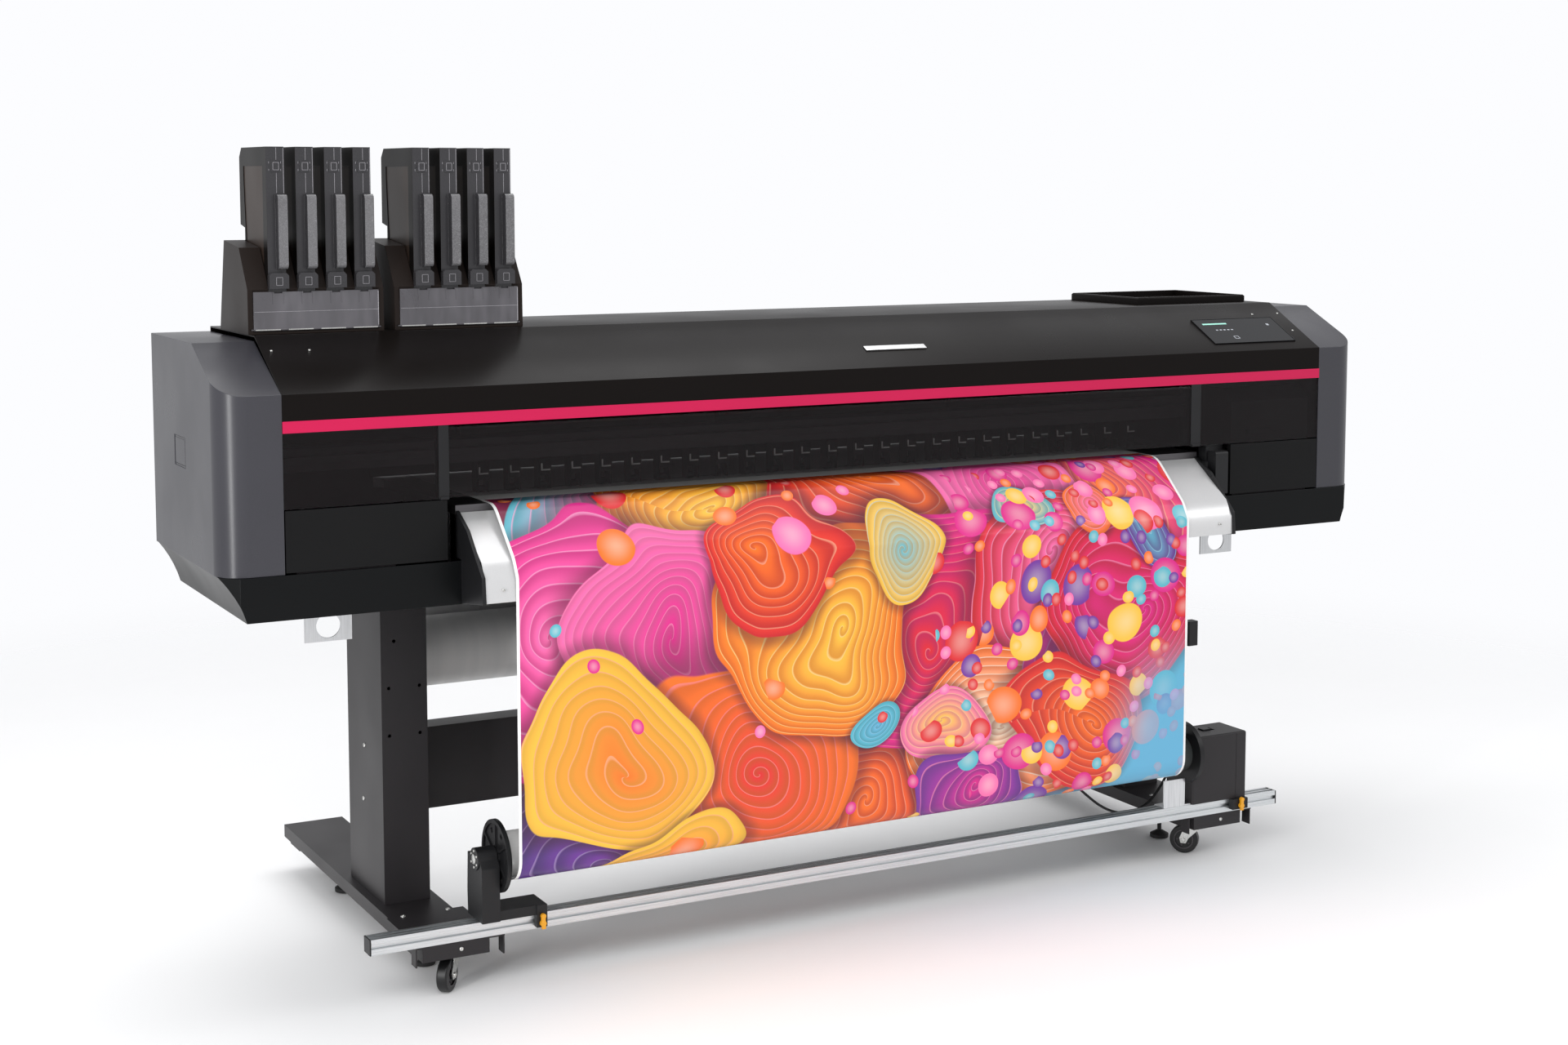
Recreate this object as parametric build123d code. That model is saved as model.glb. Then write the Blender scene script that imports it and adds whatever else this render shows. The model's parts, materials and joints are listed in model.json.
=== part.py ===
from build123d import *
import math
import os

# Wide-format roll-to-roll inkjet printer on a stand, with a front take-up.
# Millimetres. X runs along the width, Y from front (-) to back (+), Z up; the
# origin is on the floor under the middle of the machine.

# ---- driving dimensions: whole machine ----
WIDTH = 2698.0           # over the two side covers
FRONT_Y = -395.0         # front face of the body
BODY_DEPTH = 510.0
FOOT_DEPTH = 944.0       # length of each foot channel
FOOT_FRONT_Y = -430.0
LEG_LENGTH = 651.0
BASE_HEIGHT = 84.0       # black base under the covers
COVER_HEIGHT = 419.0     # side covers above the base
FRONT_FACE_HEIGHT = 332.0   # vertical front above the base
SHEET = 3.0              # wall of covers, channels and pans
RUNNING = 0.05           # radial clearance of shafts and pins
GAP = 0.3                # clearance between moving and fixed faces

# ---- driving dimensions: body ----
SIDE_COVER_WIDTH = 118.0
SIDE_COVER_CORNER = 55.0
SIDE_SLOPE_RUN = 180.0
LID_RISE = 10.0
LID_SLOPE_RUN = 178.0
LID_BACK_LIP = 28.0
BASE_END_INSET = 45.0
STRIPE_ABOVE_BASE = 261.0
STRIPE_HEIGHT = 22.0
PANEL_HEIGHT = 120.0     # lower front panels
WINDOW_SHEET = 4.0
APRON_FROM_END = 456.0   # side of the machine to the end of the front guide
APRON_CAP = 8.0
PLATEN_ABOVE_BASE = 103.0
PLATEN_THICK = 18.0
GRIT_RADIUS = 13.0
PINCH_PITCH = 66.0

# ---- driving dimensions: media ----
MEDIA_THICK = 0.5
MEDIA_MARGIN_LEFT = 67.0
MEDIA_MARGIN_RIGHT = 131.0
CORE_INNER = 38.1
CORE_OUTER = 41.5
TAKEUP_ROLL_RADIUS = 45.0
SUPPLY_ROLL_RADIUS = 75.0
TAKEUP_AXIS = (-413.0, 261.0)
LOOP_CORNER_Z = 238.0
LOOP_BEND = 50.0

# ---- driving dimensions: ink supply ----
HOLDER_WIDTH = 267.0
HOLDER_FROM_END = (247.5, 536.5)
CARTRIDGE_WIDTH = 35.0
CARTRIDGE_PITCH = 56.5
CARTRIDGE_SHIFT = 10.0
CARTRIDGES_PER_HOLDER = 4
CARTRIDGE_TOP = 356.0    # above the lid
CARTRIDGE_SINK = 26.0    # bottom of a cartridge above the lid

# ---- driving dimensions: stand and take-up ----
LEG_FROM_END = 425.0
LEG_WIDTH = 96.0
LEG_Y = (-145.0, 79.0)
FOOT_WIDTH = 135.0
FOOT_HEIGHT = 28.0
CASTER_HEIGHT = 75.0
WHEEL_RADIUS = 33.0
WHEEL_WIDTH = 22.0
TRAIL = 26.0
RAIL_FROM_END = 256.0
RAIL_Y = (-432.0, -397.0)
RAIL_HEIGHT = 30.5
RAIL_PLATE = 4.0
DISC_RADIUS = 71.0
DISC_THICK = 9.0
MOTOR_BOX = (156.0, 98.0, 155.5)
MOTOR_BOX_FRONT = -437.0

# ---- derived places ----
HALF = WIDTH / 2
BACK_Y = FRONT_Y + BODY_DEPTH
FOOT_BACK_Y = FOOT_FRONT_Y + FOOT_DEPTH
FOOT_BOTTOM = CASTER_HEIGHT + SHEET
FOOT_TOP = FOOT_BOTTOM + FOOT_HEIGHT
LEG_TOP = FOOT_TOP + LEG_LENGTH
BASE_TOP = LEG_TOP + BASE_HEIGHT
COVER_TOP = BASE_TOP + COVER_HEIGHT
FACE_TOP = BASE_TOP + FRONT_FACE_HEIGHT
LID_TOP = COVER_TOP + LID_RISE
LID_HALF = HALF - SIDE_COVER_WIDTH
STRIPE_Z = BASE_TOP + STRIPE_ABOVE_BASE
PANEL_TOP = BASE_TOP + PANEL_HEIGHT
APRON_HALF = HALF - APRON_FROM_END
PLATEN_TOP = BASE_TOP + PLATEN_ABOVE_BASE
PLATEN_FRONT = FRONT_Y + 23.0
MEDIA_X = (-APRON_HALF + MEDIA_MARGIN_LEFT, APRON_HALF - MEDIA_MARGIN_RIGHT)
LEG_X = HALF - LEG_FROM_END
CASTER_X = LEG_X - 12.0
RAIL_HALF = HALF - RAIL_FROM_END
RAIL_Z = FOOT_TOP + RAIL_PLATE
RAIL_TOP = RAIL_Z + RAIL_HEIGHT
POST_LEFT = (-APRON_HALF - 40.0, -APRON_HALF - 19.0)
POST_RIGHT = (APRON_HALF - 36.0, APRON_HALF - 8.0)
PANEL_INNER = (APRON_HALF + 24.0, APRON_HALF + 79.0)   # left, right
HINGE_Y = FRONT_Y + 4.0
WINDOW_HINGE_Z = STRIPE_Z - 6.0
PANEL_HINGE_Z = BASE_TOP + 6.0
HOLDER_X = [-HALF + d for d in HOLDER_FROM_END]
FLAP_HINGE = (-190.5, LID_TOP + 9.0)
BEAM_Y = (FRONT_Y + 145.0, FRONT_Y + 205.0)
BEAM_Z = (PLATEN_TOP + 66.0, PLATEN_TOP + 112.0)
CARRIAGE_X = (LID_HALF - 246.0, LID_HALF - 16.0)
GRIT_AXIS = (FRONT_Y + 160.0, PLATEN_TOP - GRIT_RADIUS - 0.5)
SUPPLY_AXIS_Z = LEG_TOP - 197.0
GUIDE_BACK_Y = BACK_Y + 80.0
SUPPLY_AXIS_Y = GUIDE_BACK_Y - SUPPLY_ROLL_RADIUS - 0.2
DISC_X = MEDIA_X[0] - 3.0          # inner face of the left take-up disc
MOTOR_X = APRON_HALF - 48.0        # left face of the take-up motor box
FLANGE_X = MOTOR_X - 3.0           # outer face of the drive flange
LEVER_AXIS = (FRONT_Y + 11.0, BASE_TOP + 19.0)
LEVER_X = APRON_HALF + 8.0
CLAMP_X = (DISC_X + 75.0, MOTOR_X + 133.0)   # centres of the two rail clamps
CLAMP_Z = RAIL_Z + 15.0
KNOB_AXIS = (-400.0, RAIL_TOP + 87.0)


# ---- shape helpers ----
def box(x0, x1, y0, y1, z0, z1):
    centre = Pos((x0 + x1) / 2, (y0 + y1) / 2, (z0 + z1) / 2)
    return centre * Box(abs(x1 - x0), abs(y1 - y0), abs(z1 - z0))


def cyl_x(radius, x0, x1, y, z):
    return Pos((x0 + x1) / 2, y, z) * Rot(0, 90, 0) * Cylinder(radius, abs(x1 - x0))


def cyl_y(radius, y0, y1, x, z):
    return Pos(x, (y0 + y1) / 2, z) * Rot(90, 0, 0) * Cylinder(radius, abs(y1 - y0))


def cyl_z(radius, z0, z1, x, y):
    return Pos(x, y, (z0 + z1) / 2) * Cylinder(radius, abs(z1 - z0))


def prism_x(outline, x0, x1):
    """A closed (y, z) outline, extruded from x0 to x1."""
    face = make_face(Plane.YZ.offset(x0) * outline)
    return extrude(face, amount=x1 - x0, dir=(1, 0, 0))


def prism_y(outline, y0, y1):
    """A closed (x, z) outline, extruded from y0 to y1."""
    face = make_face(Plane.XZ.offset(-y0) * outline)
    return extrude(face, amount=y1 - y0, dir=(0, 1, 0))


def closed(points):
    return Polyline(*points, close=True)


def ribbon(path, thickness, side):
    """A thin strip that follows a path, closed into an outline."""
    return path.wire().offset_2d(thickness, kind=Kind.INTERSECTION, side=side)


def group(solids):
    return Compound(children=[s for s in solids])


def mirrored(make):
    """The same piece made on the left (-1) and on the right (+1)."""
    return group([make(side) for side in (-1, 1)])


# ---- stand ----
def foot(side):
    x = side * LEG_X
    half = FOOT_WIDTH / 2
    channel = box(x - half, x + half, FOOT_FRONT_Y, FOOT_BACK_Y, FOOT_BOTTOM, FOOT_TOP)
    channel -= box(x - half + SHEET, x + half - SHEET, FOOT_FRONT_Y + SHEET,
                   FOOT_BACK_Y - SHEET, FOOT_BOTTOM - 1, FOOT_TOP - SHEET)
    plate_top = FOOT_TOP + RAIL_PLATE
    channel += box(x - 75, x + 85, FOOT_FRONT_Y, RAIL_Y[1] + 162, FOOT_TOP, plate_top)
    channel += box(x - 81, x + 99, FOOT_FRONT_Y, RAIL_Y[1] - 3, FOOT_TOP, plate_top)
    for edge in (x - 81, x + 99 - SHEET):
        channel += box(edge, edge + SHEET, FOOT_FRONT_Y + 2, RAIL_Y[1] - 5,
                       FOOT_TOP - 36, FOOT_TOP + 1)
    for y in CASTER_Y:
        plate = box(x - half, x + half, y - 35, y + 35, CASTER_HEIGHT, FOOT_BOTTOM)
        plate -= cyl_z(6 + RUNNING, CASTER_HEIGHT - 1, FOOT_BOTTOM + 1, side * CASTER_X, y)
        channel += plate
    return channel


def levelling_feet():
    pads = []
    for side in (-1, 1):
        for y in (CASTER_Y[0] + 143, CASTER_Y[1] - 130):
            x = side * (LEG_X - 6)
            pad = cyl_z(22, 2, 10, x, y)
            pad += Pos(x, y, 14) * Cone(22, 8, 8)
            pad += cyl_z(5, 10, FOOT_TOP - SHEET, x, y)
            pad += cyl_z(9, 56, 64, x, y)
            pads.append(pad)
    return group(pads)


def leg(side):
    x = side * LEG_X
    half = LEG_WIDTH / 2
    tube = box(x - half, x + half, LEG_Y[0], LEG_Y[1], FOOT_TOP, LEG_TOP)
    tube -= box(x - half + SHEET, x + half - SHEET, LEG_Y[0] + SHEET, LEG_Y[1] - SHEET,
                FOOT_TOP - 1, LEG_TOP + 1)
    for dx, drop in ((-20, 113), (-32, 208), (32, 208), (-32, 305), (32, 305)):
        tube -= cyl_y(3.5, LEG_Y[0] - 1, LEG_Y[0] + SHEET + 1, x + dx, LEG_TOP - drop)
    return tube


def stretcher():
    reach = LEG_X - LEG_WIDTH / 2
    z0, z1 = FOOT_TOP + 144, FOOT_TOP + 318
    y0, y1 = LEG_Y[0] + 145, LEG_Y[1] - 17
    beam = box(-reach, reach, y0, y1, z0, z1)
    return beam - box(-reach - 1, reach + 1, y0 + SHEET, y1 + 1, z0 + SHEET, z1 - SHEET)


def stand_frame():
    return group([leg(-1), leg(1), stretcher()])


# ---- body ----
def base_pan():
    top, low = HALF - 2, HALF - BASE_END_INSET
    drop = BASE_TOP - LEG_TOP

    def outline(inset, floor):
        a, b = top - inset, low - inset
        bend = (b + 17, LEG_TOP + 0.52 * drop)
        right = ThreePointArc((b, floor), bend, (a, BASE_TOP))
        left = ThreePointArc((-a, BASE_TOP), (-bend[0], bend[1]), (-b, floor))
        return right + Line((a, BASE_TOP), (-a, BASE_TOP)) + left + Line((-b, floor), (b, floor))

    pan = prism_y(outline(0, LEG_TOP), FRONT_Y - SHEET, BACK_Y - SHEET)
    plan = box(-top, top, FRONT_Y - SHEET, BACK_Y - SHEET, LEG_TOP - 1, BASE_TOP + 1)
    facet = SIDE_COVER_CORNER * (2 - math.sqrt(2))
    pan &= chamfer(plan.edges().filter_by(Axis.Z).group_by(Axis.Y)[0], facet)
    hollow = box(-low + 8, low - 8, FRONT_Y, BACK_Y - 2 * SHEET, LEG_TOP + SHEET, BASE_TOP + 1)
    return pan - hollow


def cover_profile(inset, top):
    """Side profile of the body: vertical front, sloping shoulder, flat top."""
    run = SIDE_SLOPE_RUN
    slope = math.atan2(top - FACE_TOP, run)
    y0, z0 = FRONT_Y + inset, BASE_TOP + inset
    y1 = FRONT_Y + inset * math.sin(slope)
    z1 = FACE_TOP - inset * math.cos(slope)
    shoulder = z1 + (y0 - y1) * math.tan(slope)
    crest = y1 + (top - inset - z1) / math.tan(slope)
    return closed([(y0, z0), (y0, shoulder), (crest, top - inset),
                   (BACK_Y - inset, top - inset), (BACK_Y - inset, z0)])


def cover_block(inset, x_in):
    """Right-hand side cover as a block, drawn in by a wall thickness."""
    x_out, radius = HALF - inset, SIDE_COVER_CORNER - inset
    y0, y1 = FRONT_Y + inset, BACK_Y - inset
    plan = Line((x_in, y0), (x_out - radius, y0))
    plan += RadiusArc((x_out - radius, y0), (x_out, y0 + radius), -radius)
    plan += Polyline((x_out, y0 + radius), (x_out, y1), (x_in, y1), (x_in, y0))
    column = extrude(Pos(0, 0, BASE_TOP) * make_face(plan), amount=COVER_HEIGHT, dir=(0, 0, 1))
    return column & prism_x(cover_profile(inset, COVER_TOP), x_in, x_out)


def side_cover(side):
    shell = cover_block(0, LID_HALF) - cover_block(SHEET, LID_HALF - 1)
    shell -= box(HALF - 1.2, HALF + 1, FRONT_Y + 248, FRONT_Y + 333, BASE_TOP + 176, BASE_TOP + 234)
    shell += box(HALF - 2, HALF - 0.4, FRONT_Y + 252, FRONT_Y + 329, BASE_TOP + 180, BASE_TOP + 230)
    return shell if side > 0 else mirror(shell, Plane.YZ)


def top_cover():
    path = Polyline((FRONT_Y, STRIPE_Z), (FRONT_Y, FACE_TOP), (FRONT_Y + LID_SLOPE_RUN, LID_TOP),
                    (BACK_Y, LID_TOP), (BACK_Y, LID_TOP - LID_BACK_LIP))
    return prism_x(ribbon(path, SHEET, Side.RIGHT), -LID_HALF, LID_HALF)


def stripe():
    return box(-LID_HALF, LID_HALF, FRONT_Y - 1.6, FRONT_Y, STRIPE_Z, STRIPE_Z + STRIPE_HEIGHT)


def louvre(x, top):
    """Hood inside the rear cover, closed above and behind, and the slots in front of it."""
    y0 = BACK_Y - SHEET
    rows, pitch, half = 12, 12.0, 90.0
    z0, z1 = top - rows * pitch - 4, top + 8
    hood = box(x - half - 6, x + half + 6, y0 - 18, y0, z0, z1)
    hood -= box(x - half - 3, x + half + 3, y0 - 15, y0 + 1, z0 - 1, z1 - SHEET)
    slots = [box(x - half, x + half, y0 - 1, BACK_Y + 1, z, z + 5)
             for z in [top - pitch * (i + 1) for i in range(rows)]]
    return hood, slots


def rear_cover():
    """Sheet at the back with one slot as wide as the platen for the blank media."""
    cover = box(-LID_HALF, LID_HALF, BACK_Y - SHEET, BACK_Y, BASE_TOP, LID_TOP - LID_BACK_LIP)
    slot = APRON_HALF + 6
    cover -= box(-slot, slot, BACK_Y - 2 * SHEET, BACK_Y + 1, PLATEN_TOP - 24, PLATEN_TOP + 18)
    for x in (-LID_HALF / 2, 0, LID_HALF / 2):
        hood, slots = louvre(x, LID_TOP - 108)
        cover += hood
        for slot_box in slots:
            cover -= slot_box
    return cover


def window_posts():
    posts = []
    for x0, x1 in (POST_LEFT, POST_RIGHT):
        post = box(x0, x1, FRONT_Y + 1, FRONT_Y + 22, PANEL_TOP, STRIPE_Z)
        post -= cyl_x(2 + RUNNING, x0 - 1, x1 + 1, HINGE_Y, WINDOW_HINGE_Z)
        post += box(x0 + 2, x1 - 2, FRONT_Y - 2, FRONT_Y + 8, PANEL_TOP - 1, PANEL_TOP + 5)
        posts.append(post)
    return group(posts)


def bay_windows():
    y0 = FRONT_Y + 2
    left = box(-LID_HALF, POST_LEFT[0], y0, y0 + WINDOW_SHEET, PANEL_TOP, STRIPE_Z)
    right = box(POST_RIGHT[1], LID_HALF, y0, y0 + WINDOW_SHEET, PANEL_TOP, STRIPE_Z)
    return group([left, right])


def window_cover():
    x0, x1 = POST_LEFT[1] + GAP, POST_RIGHT[0] - GAP
    y0 = HINGE_Y - WINDOW_SHEET / 2
    z0, z1 = PANEL_TOP + 2, WINDOW_HINGE_Z + 2
    sheet = box(x0, x1, y0, y0 + WINDOW_SHEET, z0, z1)
    sheet += cyl_x(3.2, x0, x1, HINGE_Y, WINDOW_HINGE_Z)
    sheet += cyl_x(2, x0 - 10, x1 + 10, HINGE_Y, WINDOW_HINGE_Z)
    sheet += box(x0, x1, y0 - 1.5, y0 + WINDOW_SHEET + 6, z0, z0 + 7)
    return sheet


def front_panel(side):
    """Lower front panel: hinged along its bottom edge."""
    inner = PANEL_INNER[0] if side < 0 else PANEL_INNER[1]
    x0, x1 = sorted((side * inner, side * (LID_HALF - 2)))
    z0, z1 = BASE_TOP + 3, PANEL_TOP - 2
    panel = box(x0, x1, FRONT_Y, FRONT_Y + SHEET, z0, z1)
    for edge in (x0, x1 - SHEET):
        panel += box(edge, edge + SHEET, FRONT_Y, FRONT_Y + 12, z0 + 5, z1)
    panel += box(x0, x1, FRONT_Y, FRONT_Y + 12, z1 - SHEET, z1)
    panel += cyl_x(3, x0 + 5, x1 - 5, HINGE_Y, PANEL_HINGE_Z)
    return panel


def pressure_lever():
    """Upright handle right of the front guide that lifts the pinch rollers."""
    y, z = LEVER_AXIS
    x0, x1 = LEVER_X + 4, LEVER_X + 40
    handle = box(x0, x1, FRONT_Y - 30, FRONT_Y - 1, z - 8, PANEL_TOP - 12)
    handle = fillet(handle.edges().filter_by(Axis.X).group_by(Axis.Z)[-1], 6)
    handle += box(x0 + 6, x1 - 6, FRONT_Y - 2, y, z - 8, z + 8)
    return handle + cyl_x(4, x0 - 4, x1 + 4, y, z)


def lever_bracket():
    y, z = LEVER_AXIS
    x0, x1 = LEVER_X, LEVER_X + 44
    back = y + 14
    plate = box(x0, x1 + 24, back, back + SHEET, BASE_TOP, PANEL_TOP - 2)
    for ear in (x0, x1 - SHEET + 0.6):
        lug = box(ear, ear + SHEET, y - 8, back + 1, z - 12, z + 12)
        plate += lug - cyl_x(4 + RUNNING, ear - 1, ear + SHEET + 1, y, z)
    plate += box(x0, x0 + 10, FRONT_Y + 1, back + 1, PANEL_TOP - 38, PANEL_TOP - 4)
    return plate


def touch_panel():
    """Screen that lies on the sloping face at the right."""
    angle = math.degrees(math.atan2(LID_TOP - FACE_TOP, LID_SLOPE_RUN))
    slope = Pos(HALF - 285, FRONT_Y, FACE_TOP) * Rot(angle, 0, 0)
    screen = slope * Pos(0, 84, 0.9) * Box(238, 104, 1.8)
    return screen


def top_tray():
    x0, x1 = HALF - 464, HALF - 143
    y0, y1 = FRONT_Y + 241, BACK_Y - 3
    tray = box(x0, x1, y0, y1, LID_TOP, LID_TOP + 17)
    tray = chamfer(tray.edges().group_by(Axis.Z)[-1], 3)
    return tray - box(x0 + 7, x1 - 7, y0 + 7, y1 - 7, LID_TOP + 3, LID_TOP + 18)


def hole_bracket(side):
    x = side * (HALF - 255)
    y = FRONT_Y + 195
    plate = box(x - 47.5, x + 47.5, y, y + SHEET, LEG_TOP - 88, LEG_TOP)
    plate -= cyl_y(24, y - 1, y + SHEET + 1, x, LEG_TOP - 57)
    return plate + box(x - 47.5, x + 47.5, y, y + 42, LEG_TOP - SHEET, LEG_TOP)


# ---- media path ----
def platen():
    x = APRON_HALF
    z0 = PLATEN_TOP - PLATEN_THICK
    y_grit, z_grit = GRIT_AXIS
    bed = box(-x, x, PLATEN_FRONT, BACK_Y - 55, z0, PLATEN_TOP)
    bed -= box(-x + 25, x - 25, y_grit - 17, y_grit + 17, z0 - 1, PLATEN_TOP + 1)
    bed -= cyl_x(8 + RUNNING, -x - 1, x + 1, y_grit, z_grit)
    for px in (-x + 43, -300, 300, x - 43):
        for y0, y1 in ((PLATEN_FRONT + 12, y_grit - 20), (y_grit + 20, BACK_Y - 65)):
            bed += box(px - 3, px + 3, y0, y1, LEG_TOP + SHEET, z0 + 1)
    bend = GUIDE_BACK_Y - BACK_Y - 2
    path = FilletPolyline((BACK_Y - 55, PLATEN_TOP), (GUIDE_BACK_Y, PLATEN_TOP),
                          (GUIDE_BACK_Y, PLATEN_TOP - 144), radius=bend)
    guide = prism_x(ribbon(path, SHEET, Side.RIGHT), -x, x)
    return bed + guide


def grit_roller():
    y, z = GRIT_AXIS
    x = APRON_HALF
    roller = cyl_x(GRIT_RADIUS, -x + 27, x - 27, y, z)
    return roller + cyl_x(8, -x - 8, x + 8, y, z)


def apron_points():
    """Side line of the front guide, from the platen down to its lower edge."""
    return [(PLATEN_FRONT - 1.5, PLATEN_TOP - 14), (FRONT_Y - 93, PLATEN_TOP - 94),
            (FRONT_Y - 113, PLATEN_TOP - 129), (FRONT_Y - 115, PLATEN_TOP - 169)]


def apron():
    points = apron_points()
    path = Polyline(*points, (FRONT_Y - 95, PLATEN_TOP - 173))
    inner = APRON_HALF - APRON_CAP
    return prism_x(ribbon(path, 2.0, Side.LEFT), -inner, inner)


def apron_end(side):
    front = FRONT_Y - 119
    outline = closed([(PLATEN_FRONT, PLATEN_TOP - 10), (FRONT_Y - 35, PLATEN_TOP - 41),
                      (front + 5, PLATEN_TOP - 120), (front, PLATEN_TOP - 170),
                      (FRONT_Y - SHEET, LEG_TOP + 1), (FRONT_Y - SHEET, BASE_TOP + 2),
                      (PLATEN_FRONT, BASE_TOP + 2)])
    x0, x1 = sorted((side * (APRON_HALF - APRON_CAP), side * APRON_HALF))
    return prism_x(outline, x0, x1)


def tangent_below(point, centre, radius):
    """Where a line from a point touches the underside of a circle."""
    dy, dz = centre[0] - point[0], centre[1] - point[1]
    reach = math.hypot(dy, dz)
    angle = math.atan2(dz, dy) - math.asin(radius / reach)
    length = math.sqrt(reach ** 2 - radius ** 2)
    return point[0] + length * math.cos(angle), point[1] + length * math.sin(angle)


def media_web():
    lift = MEDIA_THICK / 2 + 0.25
    front = FRONT_Y - 116.5 - lift
    corner = (front, LOOP_CORNER_Z)
    end = tangent_below(corner, TAKEUP_AXIS, TAKEUP_ROLL_RADIUS + lift + 0.2)
    back = GUIDE_BACK_Y + lift
    points = [(back, SUPPLY_AXIS_Z), (back, PLATEN_TOP + lift), (PLATEN_FRONT - 22, PLATEN_TOP + lift),
              (FRONT_Y - 97, PLATEN_TOP - 90), (front, PLATEN_TOP - 124), corner, end]
    bend = GUIDE_BACK_Y - BACK_Y - 2 + lift
    path = FilletPolyline(*points, radius=[bend, 60, 40, 25, LOOP_BEND])
    outline = path.wire().offset_2d(MEDIA_THICK / 2, kind=Kind.INTERSECTION, side=Side.BOTH)
    return prism_x(outline, *MEDIA_X)


# ---- carriage ----
def guide_rail():
    reach = LID_HALF - 13
    y0, y1 = BEAM_Y
    z0, z1 = BEAM_Z
    beam = box(-reach, reach, y0, y1, z0, z1)
    beam -= box(-reach - 1, reach + 1, y0 + SHEET, y1 - SHEET, z0 + SHEET, z1 - SHEET)
    beam += box(-reach, reach, y0 - 12, y0, z0 + 16, z0 + 30)
    for side in (-1, 1):
        x0, x1 = sorted((side * reach, side * (reach + 6)))
        beam += box(x0, x1, y0 - 60, BACK_Y - 10, LEG_TOP + SHEET, z1 + 20)
    return beam


def pinch_rollers():
    count = int((APRON_HALF - 93) / PINCH_PITCH)
    y, _ = GRIT_AXIS
    arms = []
    for i in range(-count, count + 1):
        x = i * PINCH_PITCH
        arm = box(x - 13, x + 13, y - 22, y - 18, PLATEN_TOP + 30, BEAM_Z[0])
        arm += box(x - 13, x + 13, y - 22, y + 22, BEAM_Z[0] - 5, BEAM_Z[0])
        for ear in (x - 13, x + 10):
            arm += box(ear, ear + 3, y - 20, y + 8, PLATEN_TOP + 4, BEAM_Z[0] - 1)
        arm += cyl_x(7, x - 9, x + 9, y, PLATEN_TOP + 9)
        arm += cyl_x(2, x - 13, x + 13, y, PLATEN_TOP + 9)
        arms.append(arm)
    return group(arms)


def cap_station():
    x0, x1 = CARRIAGE_X
    y0, y1 = FRONT_Y + 15, FRONT_Y + 105
    cap = box(x0 + 5, x1 - 5, y0, y1, LEG_TOP + SHEET, PLATEN_TOP - 20)
    for i in range(4):
        x = x0 + 42 + 48 * i
        pad = box(x - 16, x + 16, y0 + 12, y1 - 12, PLATEN_TOP - 21, PLATEN_TOP - 4)
        cap += pad - box(x - 12, x + 12, y0 + 16, y1 - 16, PLATEN_TOP - 12, PLATEN_TOP)
    spit = box(-x1 + 10, -x0 - 30, y0, y1, LEG_TOP + SHEET, PLATEN_TOP - 10)
    spit -= box(-x1 + 18, -x0 - 38, y0 + 8, y1 - 8, PLATEN_TOP - 60, PLATEN_TOP)
    spit += box(-x0 - 32, -x0 + 40, y0 + 50, y0 + 80, PLATEN_TOP - 20, PLATEN_TOP - 4)
    return group([cap, spit])


def carriage():
    x0, x1 = CARRIAGE_X
    back = BEAM_Y[0] - 16
    front = FRONT_Y + 16
    body = box(x0, x1, front, back, PLATEN_TOP + 8, PLATEN_TOP + 141)
    body = chamfer(body.edges().filter_by(Axis.X).group_by(Axis.Z)[-1].sort_by(Axis.Y)[0], 30)
    body += box(x0 + 20, x1 - 20, front + 14, back - 12, PLATEN_TOP + 3, PLATEN_TOP + 9)
    rail_z = (BEAM_Z[0] + 16 - GAP, BEAM_Z[0] + 30 + GAP)
    for x in (x0 + 15, x1 - 65):
        block = box(x, x + 50, back - 1, BEAM_Y[0] - 2, rail_z[0] - 8, rail_z[1] + 8)
        body += block - box(x - 1, x + 51, BEAM_Y[0] - 12 - GAP, BEAM_Y[0], *rail_z)
    body += box(x0 + 45, x0 + 115, front - 3, front + 1, PLATEN_TOP + 34, PLATEN_TOP + 46)
    return body


# ---- ink supply ----
def holder_points():
    return [(-191, LID_TOP), (-189, LID_TOP + 86), (-134, LID_TOP + 164),
            (-23, LID_TOP + 176), (18, LID_TOP)]


def cartridge_centres(holder):
    first = HOLDER_X[holder] + CARTRIDGE_SHIFT
    last = CARTRIDGES_PER_HOLDER - 1
    return [first + CARTRIDGE_PITCH * (i - last / 2) for i in range(CARTRIDGES_PER_HOLDER)]


def flap_span(holder):
    centre = HOLDER_X[holder]
    return centre - HOLDER_WIDTH / 2 + 10, centre + HOLDER_WIDTH / 2 - 10


def ink_holder(holder):
    centre = HOLDER_X[holder]
    x0, x1 = centre - HOLDER_WIDTH / 2, centre + HOLDER_WIDTH / 2
    body = prism_x(closed(holder_points()), x0, x1)
    half = CARTRIDGE_WIDTH / 2 + GAP
    for x in cartridge_centres(holder):
        body -= box(x - half, x + half, -192, -26, LID_TOP + CARTRIDGE_SINK - 2, LID_TOP + 200)
    f0, f1 = flap_span(holder)
    y, z = FLAP_HINGE
    body -= box(f0, f1, -200, -187.3, z - 4, LID_TOP + 84)
    return body - cyl_x(1.2 + RUNNING, f0 - 6, f1 + 6, y, z)


def holder_flap(holder):
    f0, f1 = flap_span(holder)
    y, z = FLAP_HINGE
    flap = box(f0 + 0.6, f1 - 0.6, y - 1.5, y + 1.5, z, LID_TOP + 81)
    for x in cartridge_centres(holder):
        flap -= box(x - 8, x + 8, y - 2, y + 2, LID_TOP + 78, LID_TOP + 82)
        flap -= box(x - 12, x - 9.5, y - 2, y - 0.7, LID_TOP + 58, LID_TOP + 82)
        flap -= box(x + 9.5, x + 12, y - 2, y - 0.7, LID_TOP + 58, LID_TOP + 82)
    flap += cyl_x(2.4, f0 + 0.6, f1 - 0.6, y, z)
    return flap + cyl_x(1.2, f0 - 4, f1 + 4, y, z)


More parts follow.
